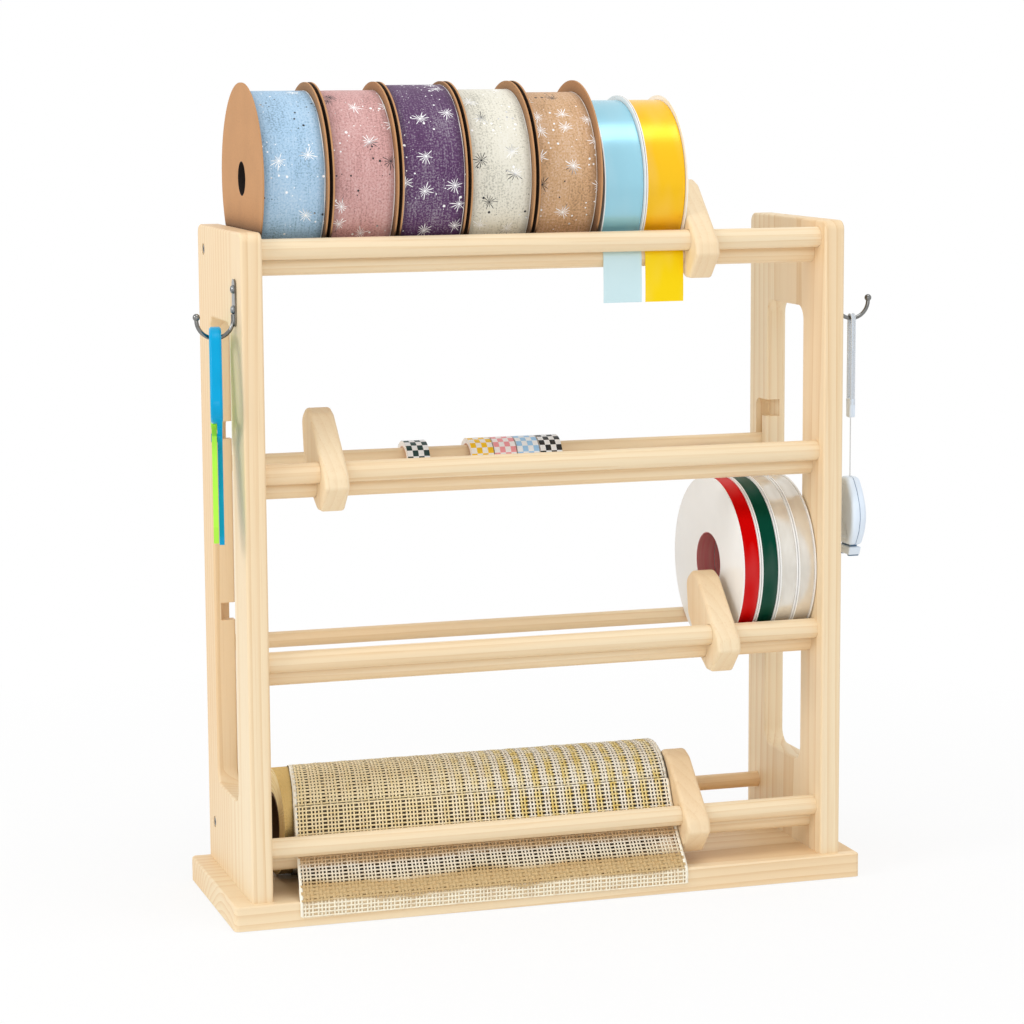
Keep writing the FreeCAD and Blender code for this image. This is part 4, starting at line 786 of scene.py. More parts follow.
def check_tape(name, base, settings, width, radius, spot):
    """Printed paper tape: satin checks outside, cream layered paper at both sides."""
    material, tree, shader = finish_of(name)
    uv = add(tree, "ShaderNodeUVMap", uv_map="UVMap")
    parts = add(tree, "ShaderNodeSeparateXYZ", {0: uv})
    cells = []
    for axis, size, start in (("X", width / settings.columns, width / 2),
            ("Y", math.tau * radius / settings.rows, 0.0)):
        moved = add(tree, MATH, {0: parts.outputs[axis], 1: start})
        scaled = add(tree, MATH, {0: moved, 1: size}, operation="DIVIDE")
        cells.append(add(tree, MATH, {0: scaled}, operation="FLOOR"))
    total = add(tree, MATH, {0: cells[0], 1: cells[1]})
    odd = add(tree, MATH, {0: total, 1: 2.0}, operation="FLOORED_MODULO")
    paper = settings.paper[:]
    pale = tuple(0.93 * white + 0.07 * part for white, part in zip(paper, base))
    checks = add(tree, MIX, {0: odd, 6: base, 7: pale}, data_type="RGBA")
    reach = away_from_axis(tree, spot)
    inner = add(tree, MATH, {0: reach, 1: radius - 0.15 * MM}, operation="LESS_THAN")
    layers = add(tree, MATH, {0: reach, 1: math.tau / (0.5 * MM)}, operation="MULTIPLY")
    wave = add(tree, MATH, {0: layers}, operation="SINE")
    turns = add(tree, MAP_RANGE, {"Value": wave, "From Min": -1.0})
    sides = add(tree, MIX, {0: turns, 6: paper, 7: colour("EADCCB")}, data_type="RGBA")
    core = add(tree, MATH, {0: reach, 1: radius - 3.2 * MM}, operation="LESS_THAN")
    cored = add(tree, MIX, {0: core, 6: sides.outputs[2], 7: colour("D8A98A")}, data_type="RGBA")
    final = add(tree, MIX, {0: inner, 6: checks.outputs[2], 7: cored.outputs[2]}, data_type="RGBA")
    fibre = add(tree, NOISE, {"Vector": add(tree, COORDINATES).outputs["Object"], "Scale": 1500.0})
    relief = add(tree, BUMP, {"Height": fibre.outputs["Fac"], "Strength": 0.15,
        "Distance": 0.05 * MM})
    fill(tree, shader, {"Base Color": final.outputs[2], "Roughness": 0.45, "Normal": relief})
    return material


def ring_of(tree, name, node, inner, materials, turn=0.0, **more):
    """Wound ring in the place of a packed ribbon or tape."""
    low, high = (Vector(corner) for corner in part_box(node))
    radius = (high.z - low.z) / 2
    width = high.x - low.x
    if turn:
        width = (width - 2 * radius * math.sin(turn)) / math.cos(turn)
    values = {"Centre": (low + high) / 2, "Radius": radius, "Inner Radius": inner, "Width": width,
        "Turn": turn, "Ribbon": materials[0], "Edge": materials[-1], "Edge Wire": 0.0, **more}
    piece = grown(name, tree, values)
    smooth(piece.data)
    return piece


class RACK_OT_card_spools(bpy.types.Operator):
    """Give the five card spools their kraft board"""
    bl_idname = "ribbonrack.card_spools"
    bl_label = "Card Spools"

    def execute(self, context):
        board = kraft_board(context.scene.rack_ribbon.kraft[:], rod_at("card_spool_1")[0],
            CARD_BORE)
        for index in range(1, WIRED_COUNT + 1):
            dress(f"card_spool_{index}", board)
        return {"FINISHED"}


class RACK_OT_wired_ribbons(bpy.types.Operator):
    """Wind the five crepe ribbons with their sewn-in edge wires"""
    bl_idname = "ribbonrack.wired_ribbons"
    bl_label = "Wired Ribbons"

    def execute(self, context):
        settings = context.scene.rack_ribbon
        tree = wound_tree()
        edge = edge_thread()
        # second number of each pair: share of the foil painted dark as a reflection
        for index, (shade, dark) in enumerate((("sky", 0.44), ("rose", 0.5), ("plum", 0.3),
                ("ivory", 0.5), ("tan", 0.46)), start=1):
            low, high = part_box(f"wired_ribbon_{index}")
            crepe = crepe_ribbon(f"{shade}_crepe", getattr(settings, shade)[:], settings,
                (0.3 * index, 0.17 * index, 0.0), (high[0] - low[0]) / 2, dark)
            piece = ring_of(tree, f"{shade}_wound_ribbon", f"wired_ribbon_{index}", WIRED_HUB,
                (crepe, edge), Waviness=settings.waviness, **{"Edge Wire": settings.edge_wire,
                    "Seed": float(index)})
            settle(piece, f"wired_reel_{index}", f"wired_ribbon_{index}")
        return {"FINISHED"}


class RACK_OT_white_spools(bpy.types.Operator):
    """Give the moulded spools their white plastic"""
    bl_idname = "ribbonrack.white_spools"
    bl_label = "White Spools"

    def execute(self, context):
        settings = context.scene.rack_narrow
        plain = spool_plastic("white_polystyrene", settings.spool[:])
        for index in range(1, SATIN_COUNT + 1):
            dress(f"satin_spool_{index}", plain)
        for index in range(1, NARROW_COUNT + 1):
            node = f"narrow_spool_{index}"
            dress(node, spool_plastic(f"lined_polystyrene_{index}", settings.spool[:],
                settings.hub[:], middle(node), NARROW_BORE))
        return {"FINISHED"}


class RACK_OT_narrow_ribbons(bpy.types.Operator):
    """Wind the four narrow ribbons on their slightly turned spools"""
    bl_idname = "ribbonrack.narrow_ribbons"
    bl_label = "Narrow Ribbons"

    def execute(self, context):
        settings = context.scene.rack_narrow
        tree = wound_tree()
        cloths = [satin(f"{shade}_narrow_satin", getattr(settings, shade)[:],
            context.scene.rack_satin, 0.3, 0.03) for shade in ("red", "green")]
        lame = silver_lame(settings.silver[:])
        for index, (shade, cloth) in enumerate((("red", cloths[0]), ("green", cloths[1]),
                ("silver", lame), ("silver", lame)), start=1):
            piece = ring_of(tree, f"{shade}_narrow_ribbon_{index}", f"narrow_ribbon_{index}",
                NARROW_HUB, (cloth,), turn=math.radians(2.6), Seed=float(index), Waviness=0.1 * MM)
            settle(piece, f"narrow_reel_{index}",
                f"narrow_ribbon_{index}")
        return {"FINISHED"}


class RACK_OT_paper_tapes(bpy.types.Operator):
    """Wind the five check tapes on the second rear rod"""
    bl_idname = "ribbonrack.paper_tapes"
    bl_label = "Paper Tapes"

    def execute(self, context):
        settings = context.scene.rack_tape
        tree = wound_tree()
        for index, shade in enumerate(("green", "yellow", "pink", "blue", "black"), start=1):
            node = f"paper_tape_{index}"
            low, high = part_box(node)
            tape = check_tape(f"{shade}_check_paper", getattr(settings, shade)[:], settings,
                high[0] - low[0], (high[2] - low[2]) / 2, middle(node))
            piece = ring_of(tree, f"{shade}_tape", node, TAPE_BORE, (tape,))
            settle(piece, f"tape_{index}", node)
        return {"FINISHED"}


# ---------------------------------------------------------------- satin and its free ends


def rod_at(node):
    """Centre and radius of a rod, a roll or a spool that lies along X."""
    low, high = (Vector(corner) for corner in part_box(node))
    return Vector((0, (low.y + high.y) / 2, (low.z + high.z) / 2)), (high.z - low.z) / 2


def on_circle(centre, radius, angle):
    """Point on a circle in the YZ plane."""
    return centre + radius * Vector((0, math.cos(angle), math.sin(angle)))


def satin_route(settings):
    """Middle line of a satin tail: under the roll, over the lower rod, then down."""
    roll, roll_radius = rod_at("satin_ribbon_1")
    rod, rod_radius = rod_at("lower_rod_tier1")
    thick = 0.4 * MM
    lie = rod_radius + 0.3 * MM + thick / 2
    roll_lie = roll_radius + 0.3 * MM + thick / 2
    lean = math.acos((roll_lie + lie) / (roll - rod).length)
    toward = math.atan2(rod.z - roll.z, rod.y - roll.y)
    leave = toward + lean
    points = [on_circle(roll, roll_lie, leave)]
    meet = leave - math.pi
    points.append(on_circle(rod, lie, meet))
    first, last = meet % math.tau, math.pi
    steps = 7
    for step in range(1, steps + 1):
        points.append(on_circle(rod, lie, first + (last - first) * step / steps))
    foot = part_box("satin_tail_1")[0][2]
    top = points[-1].z
    hang = points[-1].y
    for step in range(1, 13):
        part = step / 12
        bow = settings.curl * math.sin(math.pi * part) * part
        points.append(Vector((0, hang - bow, top + (foot - top) * part)))
    return points


def cloth_strip(name, route, left, right, columns, thick, bow=0.0):
    """Thin closed strip along a route in the YZ plane, with a UV map in metres."""
    mesh = bpy.data.meshes.new(name)
    work = bmesh.new()
    layer = work.loops.layers.uv.new("UVMap")
    reach = [0.0]
    for before, after in zip(route, route[1:]):
        reach.append(reach[-1] + (after - before).length)
    normals = []
    for index in range(len(route)):
        ahead = route[min(index + 1, len(route) - 1)] - route[max(index - 1, 0)]
        normals.append(Vector((0, ahead.z, -ahead.y)).normalized())
    grids = []
    for side in (0.5, -0.5):
        grid = []
        for index, point in enumerate(route):
            row = []
            for column in range(columns + 1):
                across = column / columns
                x = left + (right - left) * across
                cup = bow * (4 * (across - 0.5) ** 2) * max(0.0, index / len(route) - 0.45)
                spot = point + normals[index] * (side * thick) + Vector((x, -cup, 0))
                row.append(work.verts.new(spot))
            grid.append(row)
        grids.append(grid)

    def face(corners, marks):
        """Add a face and the UV spot of each of its corners."""
        made = work.faces.new(corners)
        for loop, mark in zip(made.loops, marks):
            loop[layer].uv = mark

    last = len(route) - 1
    for index in range(last):
        for column in range(columns):
            marks = [((right - left) * (column + a) / columns, reach[index + b])
                for a, b in ((0, 0), (1, 0), (1, 1), (0, 1))]
            for grid, flip in ((grids[0], False), (grids[1], True)):
                corners = [grid[index][column], grid[index][column + 1],
                    grid[index + 1][column + 1], grid[index + 1][column]]
                face(corners[::-1] if flip else corners, marks[::-1] if flip else marks)
        for column, flip in ((0, False), (columns, True)):
            corners = [grids[0][index][column], grids[0][index + 1][column],
                grids[1][index + 1][column], grids[1][index][column]]
            marks = [((right - left) * column / columns, reach[index + b]) for b in (0, 1, 1, 0)]
            face(corners[::-1] if flip else corners, marks[::-1] if flip else marks)
    for row, flip in ((0, True), (last, False)):
        for column in range(columns):
            corners = [grids[0][row][column], grids[0][row][column + 1], grids[1][row][column + 1],
                grids[1][row][column]]
            marks = [((right - left) * (column + a) / columns, reach[row]) for a in (0, 1, 1, 0)]
            face(corners[::-1] if flip else corners, marks[::-1] if flip else marks)
    bmesh.ops.recalc_face_normals(work, faces=work.faces)
    work.to_mesh(mesh)
    work.free()
    return mesh, reach[-1]


class RACK_OT_satin_ribbons(bpy.types.Operator):
    """Wind the two satin ribbons and hang their free ends over the lower rod"""
    bl_idname = "ribbonrack.satin_ribbons"
    bl_label = "Satin Ribbons"

    def execute(self, context):
        settings = context.scene.rack_satin
        tree = wound_tree()
        for index, shade in enumerate(("blue", "yellow"), start=1):
            cloth = satin(f"{shade}_satin_weave", getattr(settings, shade)[:], settings)
            roll = ring_of(tree, f"{shade}_satin_roll", f"satin_ribbon_{index}", SATIN_HUB,
                (cloth,), Seed=float(index), Waviness=0.1 * MM,
                Radius=rod_at(f"satin_ribbon_{index}")[1] + SATIN_EXTRA)
            settle(roll, f"satin_reel_{index}", f"satin_ribbon_{index}")
            low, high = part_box(f"satin_tail_{index}")
            mesh, run = cloth_strip(f"{shade}_satin_tail", satin_route(settings), low[0], high[0],
                8, 0.3 * MM, 0.6 * MM)
            # painted light: the tail's cloth is a paler copy of the ribbon, and duller like a
            # satin back
            back = satin(f"{shade}_satin_back", getattr(settings, f"{shade}_back")[:], settings,
                0.5, 0.2)
            tail = piece_of(f"{shade}_satin_tail", mesh, back)
            smooth(tail.data)
            settle(tail, "rack", f"satin_tail_{index}")
        return {"FINISHED"}


# ---------------------------------------------------------------- open mesh


def weave_tree():
    """Open weave laid along a line in the YZ plane and as wide as the roll.

    The lattice's rows follow the line and its columns stand side by side along X. Edges
    of one direction become warp strands, edges of the other become weft strands, and each
    passes over and under the next."""
    tree, given, leave = new_tree("open_weave", [("Line", "Geometry", None),
        ("Left", "Float", 0.0), ("Right", "Float", 0.1), ("Columns", "Int", 60),
        ("Rows", "Int", 40), ("Group", "Int", 4), ("Wide Gap", "Float", 0.0005),
        ("Strand", "Float", 0.0014), ("Thickness", "Float", 0.0003), ("Lift", "Float", 0.00015),
        ("Drift", "Float", 0.0003), ("Selvage", "Float", 1.8), ("Seed", "Float", 0.0),
        ("Flare", "Float", 0.0), ("Middle", "Float", 0.0), ("Snug", "Float", 0.0),
        ("Snug From", "Float", 0.7), ("Snug To", "Float", 0.88), ("Mesh", "Material", None)])
    path = add(tree, "GeometryNodeMeshToCurve", {"Mesh": given["Line"]})
    grid = add(tree, "GeometryNodeMeshGrid", {"Size X": 1.0, "Size Y": 1.0,
        "Vertices X": given["Columns"], "Vertices Y": given["Rows"]})
    index = add(tree, "GeometryNodeInputIndex")
    column = add(tree, MATH, {0: add(tree, MATH, {0: index, 1: given["Rows"]},
        operation="DIVIDE")}, operation="FLOOR")
    row = add(tree, MATH, {0: index, 1: given["Rows"]}, operation="FLOORED_MODULO")
    step = add(tree, MATH, {0: column, 1: row})
    odd = add(tree, MATH, {0: step, 1: 2.0}, operation="FLOORED_MODULO")
    side = add(tree, MAP_RANGE, {"Value": odd, "To Min": -1.0, "To Max": 1.0})
    # place across: even strands, then a wider gap after each group
    bundle = add(tree, MATH, {0: column, 1: given["Group"]}, operation="DIVIDE")
    group = add(tree, MATH, {0: bundle}, operation="FLOOR")
    final_column = add(tree, MATH, {0: given["Columns"], 1: 1.0}, operation="SUBTRACT")
    final_group = add(tree, MATH, {0: add(tree, MATH, {0: final_column, 1: given["Group"]},
        operation="DIVIDE")}, operation="FLOOR")
    spare = add(tree, MATH, {0: final_group, 1: given["Wide Gap"]}, operation="MULTIPLY")
    span = add(tree, MATH, {0: given["Right"], 1: given["Left"]}, operation="SUBTRACT")
    plain = add(tree, MATH, {0: span, 1: spare}, operation="SUBTRACT")
    pitch = add(tree, MATH, {0: plain, 1: final_column}, operation="DIVIDE")
    regular = add(tree, MATH, {0: column, 1: pitch, 2: given["Left"]}, operation="MULTIPLY_ADD")
    across = add(tree, MATH, {0: group, 1: given["Wide Gap"], 2: regular},
        operation="MULTIPLY_ADD")
    # place along the line
    final_row = add(tree, MATH, {0: given["Rows"], 1: 1.0}, operation="SUBTRACT")
    along = add(tree, MATH, {0: row, 1: final_row}, operation="DIVIDE")
    sample = add(tree, "GeometryNodeSampleCurve", {"Curves": path, "Factor": along}, mode="FACTOR",
        use_all_curves=True)
    outward = add(tree, VECTOR_MATH, {0: sample.outputs["Tangent"], 1: (-1, 0, 0)},
        operation="CROSS_PRODUCT")
    wander = add(tree, NOISE, {"Vector": add(tree, "ShaderNodeCombineXYZ",
        {0: add(tree, MATH, {0: column, 1: 0.31}, operation="MULTIPLY"),
            1: add(tree, MATH, {0: row, 1: 0.17}, operation="MULTIPLY")}), "W": given["Seed"],
        "Scale": 1.0, "Detail": 2.0}, noise_dimensions="4D")
    strays = add(tree, VECTOR_MATH, {0: wander.outputs["Color"], 1: (0.5, 0.5, 0.5)},
        operation="SUBTRACT")
    off_centre = add(tree, MATH, {0: along, 1: 0.5}, operation="SUBTRACT")
    between_ends = add(tree, "FunctionNodeCompare", {0: add(tree, MATH, {0: off_centre},
        operation="ABSOLUTE"), 1: 0.499}, operation="LESS_THAN")
    loose = add(tree, MATH, {0: given["Drift"], 1: between_ends}, operation="MULTIPLY")
    swayed = add(tree, VECTOR_MATH, {0: strays, "Scale": loose}, operation="SCALE")
    # the left edge lies further out towards the front, the right edge stays
    back_at = add(tree, "ShaderNodeSeparateXYZ", {0: sample.outputs["Position"]}).outputs["Y"]
    ahead = add(tree, MATH, {0: back_at, 1: given["Middle"]}, operation="SUBTRACT")
    rest = add(tree, MATH, {0: add(tree, MATH, {0: given["Right"], 1: across},
        operation="SUBTRACT"), 1: span}, operation="DIVIDE")
    flared = add(tree, MATH, {0: add(tree, MATH, {0: ahead, 1: rest}, operation="MULTIPLY"),
        1: given["Flare"], 2: across}, operation="MULTIPLY_ADD")
    base = add(tree, VECTOR_MATH, {0: sample.outputs["Position"],
        1: add(tree, "ShaderNodeCombineXYZ", {0: flared})})
    spot = add(tree, VECTOR_MATH, {0: base, 1: swayed})
    laid = add(tree, "GeometryNodeSetPosition", {"Geometry": grid, "Position": spot})
    kept = add(tree, "GeometryNodeCaptureAttribute", {"Geometry": laid})
    for kind, name, source in (("VECTOR", "outward", outward), ("FLOAT", "side", side),
            ("FLOAT", "column", column), ("FLOAT", "row", row), ("FLOAT", "bundle", bundle),
            ("FLOAT", "along", along)):
        kept.capture_items.new(kind, name)
        tree.links.new(source.outputs[0], kept.inputs[name])
    ends = add(tree, "GeometryNodeInputMeshEdgeVertices")
    columns = []
    for output in ("Vertex Index 1", "Vertex Index 2"):
        share_of = add(tree, MATH, {0: ends.outputs[output], 1: given["Rows"]}, operation="DIVIDE")
        columns.append(add(tree, MATH, {0: share_of}, operation="FLOOR"))
    same = add(tree, MATH, {0: columns[0], 1: columns[1], 2: 0.1}, operation="COMPARE")
    weft_edge = add(tree, MATH, {0: 1.0, 1: same}, operation="SUBTRACT")
    half = add(tree, MATH, {0: final_column, 1: 0.5}, operation="MULTIPLY")
    from_middle = add(tree, MATH, {0: add(tree, MATH, {0: kept.outputs["column"], 1: half},
        operation="SUBTRACT")}, operation="ABSOLUTE")
    edge_at = add(tree, MATH, {0: half, 1: 0.5}, operation="SUBTRACT")
    at_edge = add(tree, MATH, {0: from_middle, 1: edge_at}, operation="GREATER_THAN")
    broad = add(tree, MAP_RANGE, {"Value": at_edge, "To Min": 1.0, "To Max": given["Selvage"]})
    # strands that lie closer between two places along the line
    rising = add(tree, MAP_RANGE, {"Value": kept.outputs["along"], "From Min": given["Snug From"],
        "From Max": add(tree, MATH, {0: given["Snug From"], 1: 0.05})})
    falling = add(tree, MAP_RANGE, {"Value": kept.outputs["along"], "From Min": given["Snug To"],
        "From Max": add(tree, MATH, {0: given["Snug To"], 1: -0.05})})
    close = add(tree, MATH, {0: rising, 1: falling}, operation="MULTIPLY")
    fuller = add(tree, MATH, {0: close, 1: given["Snug"], 2: 1.0}, operation="MULTIPLY_ADD")
    widest = add(tree, MATH, {0: broad, 1: fuller}, operation="MAXIMUM")
    whole = add(tree, "GeometryNodeJoinGeometry")
    for selection, sign, number in ((same, 1.0, "column"), (weft_edge, -1.0, "row")):
        strands = add(tree, "GeometryNodeMeshToCurve",
            {"Mesh": kept.outputs[0], "Selection": selection})
        lift = add(tree, MATH, {0: kept.outputs["side"], 1: given["Lift"]}, operation="MULTIPLY")
        signed = add(tree, MATH, {0: lift, 1: sign}, operation="MULTIPLY")
        rise = add(tree, VECTOR_MATH, {0: kept.outputs["outward"], "Scale": signed},
            operation="SCALE")
        woven = add(tree, "GeometryNodeSetPosition", {"Geometry": strands, "Offset": rise})
        faced = add(tree, "GeometryNodeSetCurveNormal",
            {"Curve": woven, "Normal": kept.outputs["outward"]}, mode="FREE")
        section = add(tree, "GeometryNodeCurvePrimitiveQuadrilateral",
            {"Width": given["Thickness"], "Height": given["Strand"]}, mode="RECTANGLE")
        swept = add(tree, "GeometryNodeCurveToMesh", {"Curve": faced, "Profile Curve": section,
            "Fill Caps": True, "Scale": widest if sign > 0 else fuller})
        bound = add(tree, MATH, {0: at_edge, 1: max(sign, 0.0)}, operation="MULTIPLY")
        marked = swept
        for label, mark in (("strand", kept.outputs[number]), ("warp", max(sign, 0.0)),
                ("selvage", bound), ("bundle", kept.outputs["bundle"]),
                ("along", kept.outputs["along"])):
            marked = add(tree, "GeometryNodeStoreNamedAttribute",
                {"Geometry": marked, "Name": label, "Value": mark}, data_type="FLOAT",
                domain="POINT")
        tree.links.new(marked.outputs[0], whole.inputs[0])
    coated = add(tree, "GeometryNodeSetMaterial", {"Geometry": whole, "Material": given["Mesh"]})
    real = add(tree, "GeometryNodeRealizeInstances", {"Geometry": coated})
    tree.links.new(real.outputs[0], leave.inputs[0])
    return tree


def open_mesh_weave(name, settings, left, right, tail_tones=()):
    """Flat split-yarn strands, half of each group ivory and half metallic gold: papery.

    The halves differ most at the right. A tail's tones are laid along it instead; on the roll,
    shade is painted in where the turn is shut in."""
    material, tree, shader = finish_of(name)
    marks = {label: add(tree, "ShaderNodeAttribute", attribute_name=label).outputs["Fac"]
        for label in ("strand", "warp", "selvage", "bundle", "along")}
    place = add(tree, COORDINATES).outputs["Object"]
    in_group = add(tree, MATH, {0: add(tree, MATH, {0: marks["bundle"], 1: 0.5 / settings.group})},
        operation="FRACT")
    odd = add(tree, MATH, {0: in_group, 1: 0.5}, operation="GREATER_THAN")
    across = add(tree, "ShaderNodeSeparateXYZ", {0: place}).outputs["X"]
    contrast = add(tree, MAP_RANGE, {"Value": across, "From Min": left + 0.3 * (right - left),
        "From Max": left + 0.6 * (right - left), "To Min": 0.12, "To Max": 0.9})
    banded = add(tree, MATH, {0: odd, 1: contrast}, operation="MULTIPLY")
    luck = add(tree, "ShaderNodeTexWhiteNoise",
        {"W": add(tree, MATH, {0: marks["warp"], 1: 0.37, 2: marks["strand"]},
            operation="MULTIPLY_ADD")}, noise_dimensions="1D")
    stray = add(tree, MAP_RANGE, {"Value": luck.outputs["Value"], "From Min": 0.6, "To Max": 0.4})
    drift = add(tree, NOISE, {"Vector": place, "Scale": 160.0, "Detail": 2.0})
    patchy = add(tree, MAP_RANGE, {"Value": drift.outputs["Fac"], "From Min": 0.35,
        "From Max": 0.65, "To Min": 0.4, "To Max": 1.0})
    golden = add(tree, MATH, {0: banded, 1: stray}, operation="MAXIMUM")
    amount = add(tree, MATH, {0: golden, 1: patchy}, operation="MULTIPLY")
    plain = add(tree, MIX, {0: contrast, 6: settings.straw[:], 7: settings.ivory[:]},
        data_type="RGBA")
    shown = add(tree, MIX, {0: amount, 6: plain.outputs[2], 7: settings.gold[:]},
        data_type="RGBA").outputs[2]
    if tail_tones:
        wavy = add(tree, MATH, {0: add(tree, NOISE, {"Vector": place, "Scale": 30.0,
            "Detail": 1.0}).outputs["Fac"], 1: 0.12, 2: marks["along"]}, operation="MULTIPLY_ADD")
        ramp = add(tree, "ShaderNodeValToRGB", {"Fac": add(tree, MATH, {0: wavy, 1: -0.06})})
        for index, (at, tone, cover) in enumerate(tail_tones):
            stops = ramp.color_ramp.elements
            stop = stops[index] if index < 2 else stops.new(at)
            stop.position = at
            stop.color = (*colour(tone)[:3], cover)
        shown = add(tree, MIX, {0: ramp.outputs["Alpha"], 6: shown, 7: ramp.outputs["Color"]},
            data_type="RGBA").outputs[2]
    dull = add(tree, MAP_RANGE, {"Value": drift.outputs["Fac"], "From Min": 0.5, "From Max": 0.75,
        "To Max": 0.3})
    worn = add(tree, MIX, {0: dull, 6: shown, 7: colour("C79E68")}, data_type="RGBA")
    bound = add(tree, MIX, {0: marks["selvage"], 6: worn.outputs[2], 7: settings.selvage[:]},
        data_type="RGBA")
    # painted shade on the roll's outer turn where nearby surfaces shut it in; none on the free end
    painted_shade = 0.0 if tail_tones else shut_in(tree, 12 * MM, 0.8, 0.45, 0.9)
    final = add(tree, MIX, {0: painted_shade, 6: bound.outputs[2], 7: settings.shade[:]}, data_type="RGBA")
    metal = add(tree, MATH, {0: amount, 1: 0.3}, operation="MULTIPLY")
    split = add(tree, NOISE, {"Vector": place, "Scale": 2200.0})
    relief = add(tree, BUMP, {"Height": split.outputs["Fac"], "Strength": 0.3,
        "Distance": 0.1 * MM})
    fill(tree, shader, {"Base Color": final.outputs[2], "Metallic": metal, "Roughness": 0.5,
        "Normal": relief})
    return material


def lower_turns(settings, spot, left, right):
    """Turns of mesh under the outer one, with painted shade: dim brown strands, dark holes and
    darker spots where they are shut in; pale rings at both ends.
    """
    material, tree, shader = finish_of("mesh_lower_turns")
    uv = add(tree, "ShaderNodeUVMap", uv_map="UVMap")
    rub = add(tree, NOISE, {"Vector": uv, "Scale": 260.0, "Detail": 1.0})
    sway = add(tree, VECTOR_MATH, {0: add(tree, VECTOR_MATH,
        {0: rub.outputs["Color"], 1: (0.5, 0.5, 0.5)}, operation="SUBTRACT"), 1: (0.0016,) * 3,
        2: uv}, operation="MULTIPLY_ADD")
    parts = add(tree, "ShaderNodeSeparateXYZ", {0: sway})
    waves = []
    for axis in ("X", "Y"):
        turned = add(tree, MATH, {0: parts.outputs[axis], 1: math.tau / (settings.pitch * 0.97)},
            operation="MULTIPLY")
        waves.append(add(tree, MATH, {0: turned}, operation="COSINE"))
    high = add(tree, MATH, {0: waves[0], 1: waves[1]}, operation="MAXIMUM")
    strands = add(tree, MAP_RANGE, {"Value": high, "From Min": 0.0, "From Max": 0.8})
    broad = add(tree, NOISE, {"Vector": uv, "Scale": 38.0, "Detail": 2.0})
    # painted shade: the strands beneath are brown and dim, and the holes between them take the
    # shade colour
    pale = add(tree, MIX, {0: broad.outputs["Fac"], 6: colour("84683A"), 7: colour("B79A5C")},
        data_type="RGBA")
    woven = add(tree, MIX, {0: strands, 6: settings.shade[:], 7: pale.outputs[2]},
        data_type="RGBA")
    reach = away_from_axis(tree, spot)
    turns = add(tree, NOISE, {"W": add(tree, MATH, {0: reach, 1: 1100.0}, operation="MULTIPLY"),
        "Scale": 1.0, "Detail": 2.0}, noise_dimensions="1D")
    tint_of = add(tree, MAP_RANGE, {"Value": turns.outputs["Fac"], "From Min": 0.35,
        "From Max": 0.65})
    ringed = add(tree, MIX, {0: tint_of, 6: colour("F7E7BC"), 7: colour("DDBD7C")},
        data_type="RGBA")
    across = add(tree, "ShaderNodeSeparateXYZ",
        {0: add(tree, COORDINATES).outputs["Object"]}).outputs["X"]
    bare = add(tree, MATH, {0: add(tree, MATH, {0: across, 1: left}, operation="LESS_THAN"),
        1: add(tree, MATH, {0: across, 1: right}, operation="GREATER_THAN")}, operation="MAXIMUM")
    seen = add(tree, MIX, {0: bare, 6: woven.outputs[2], 7: ringed.outputs[2]}, data_type="RGBA")
    # painted shade: darker still where nearby surfaces shut a point in
    final = add(tree, MIX, {0: shut_in(tree, 12 * MM, 0.92, 0.55, 0.8), 6: seen.outputs[2],
        7: colour("170C05")}, data_type="RGBA")
    relief = add(tree, BUMP, {"Height": strands, "Strength": 0.6, "Distance": 0.3 * MM})
    fill(tree, shader, {"Base Color": final.outputs[2], "Roughness": 0.9,
        "Specular IOR Level": 0.1, "Normal": relief})
    return material


def core_tube():
    """Spirally wound grey-brown board tube: matt, with faint seams."""
    material, tree, shader = finish_of("spiral_wound_tube")
    place = add(tree, COORDINATES).outputs["Object"]
    fibre = add(tree, NOISE, {"Vector": place, "Scale": 420.0, "Detail": 3.0})
    tone = add(tree, MIX, {0: fibre.outputs["Fac"], 6: colour("6E4E30"), 7: colour("3E2A1A")},
        data_type="RGBA")
    relief = add(tree, BUMP, {"Height": fibre.outputs["Fac"], "Strength": 0.4,
        "Distance": 0.1 * MM})
    fill(tree, shader, {"Base Color": tone.outputs[2], "Roughness": 0.85, "Normal": relief})
    return material


def line_mesh(name, points):
    """Open chain of edges through the points."""
    mesh = bpy.data.meshes.new(name)
    mesh.from_pydata([tuple(point) for point in points],
        [(index, index + 1) for index in range(len(points) - 1)], [])
    return mesh


def mesh_route():
    """Middle line of the mesh's free end: off the roll, under the rod, over the board."""
    roll, roll_radius = rod_at("mesh_roll")
    rod, rod_radius = rod_at("front_rod_tier4")
    low, high = (Vector(corner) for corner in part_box("base_board"))
    edge = 1.5 * MM
    lip = Vector((0, low.y + edge, high.z - edge))
    off = 0.7 * MM
    roll_lie, rod_lie, lip_lie = roll_radius + off, rod_radius + off, edge + off
    lean = math.acos((roll_lie + rod_lie) / (roll - rod).length)
    leave = math.atan2(rod.z - roll.z, rod.y - roll.y) % math.tau - lean
    drop = math.acos((rod_lie + lip_lie) / (rod - lip).length)
    turn = math.atan2(lip.z - rod.z, lip.y - rod.y) % math.tau + drop
    points = [on_circle(roll, roll_lie, leave), on_circle(rod, rod_lie, leave + math.pi)]
    start = leave + math.pi
    for step in range(1, 7):
        points.append(on_circle(rod, rod_lie, start + (turn - start) * step / 6))
    start, last = turn - math.pi, math.pi
    for step in range(6):
        points.append(on_circle(lip, lip_lie, start + (last - start) * step / 5))
    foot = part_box("mesh_tail")[0][2]
    points.append(Vector((0, points[-1].y, foot)))
    return points


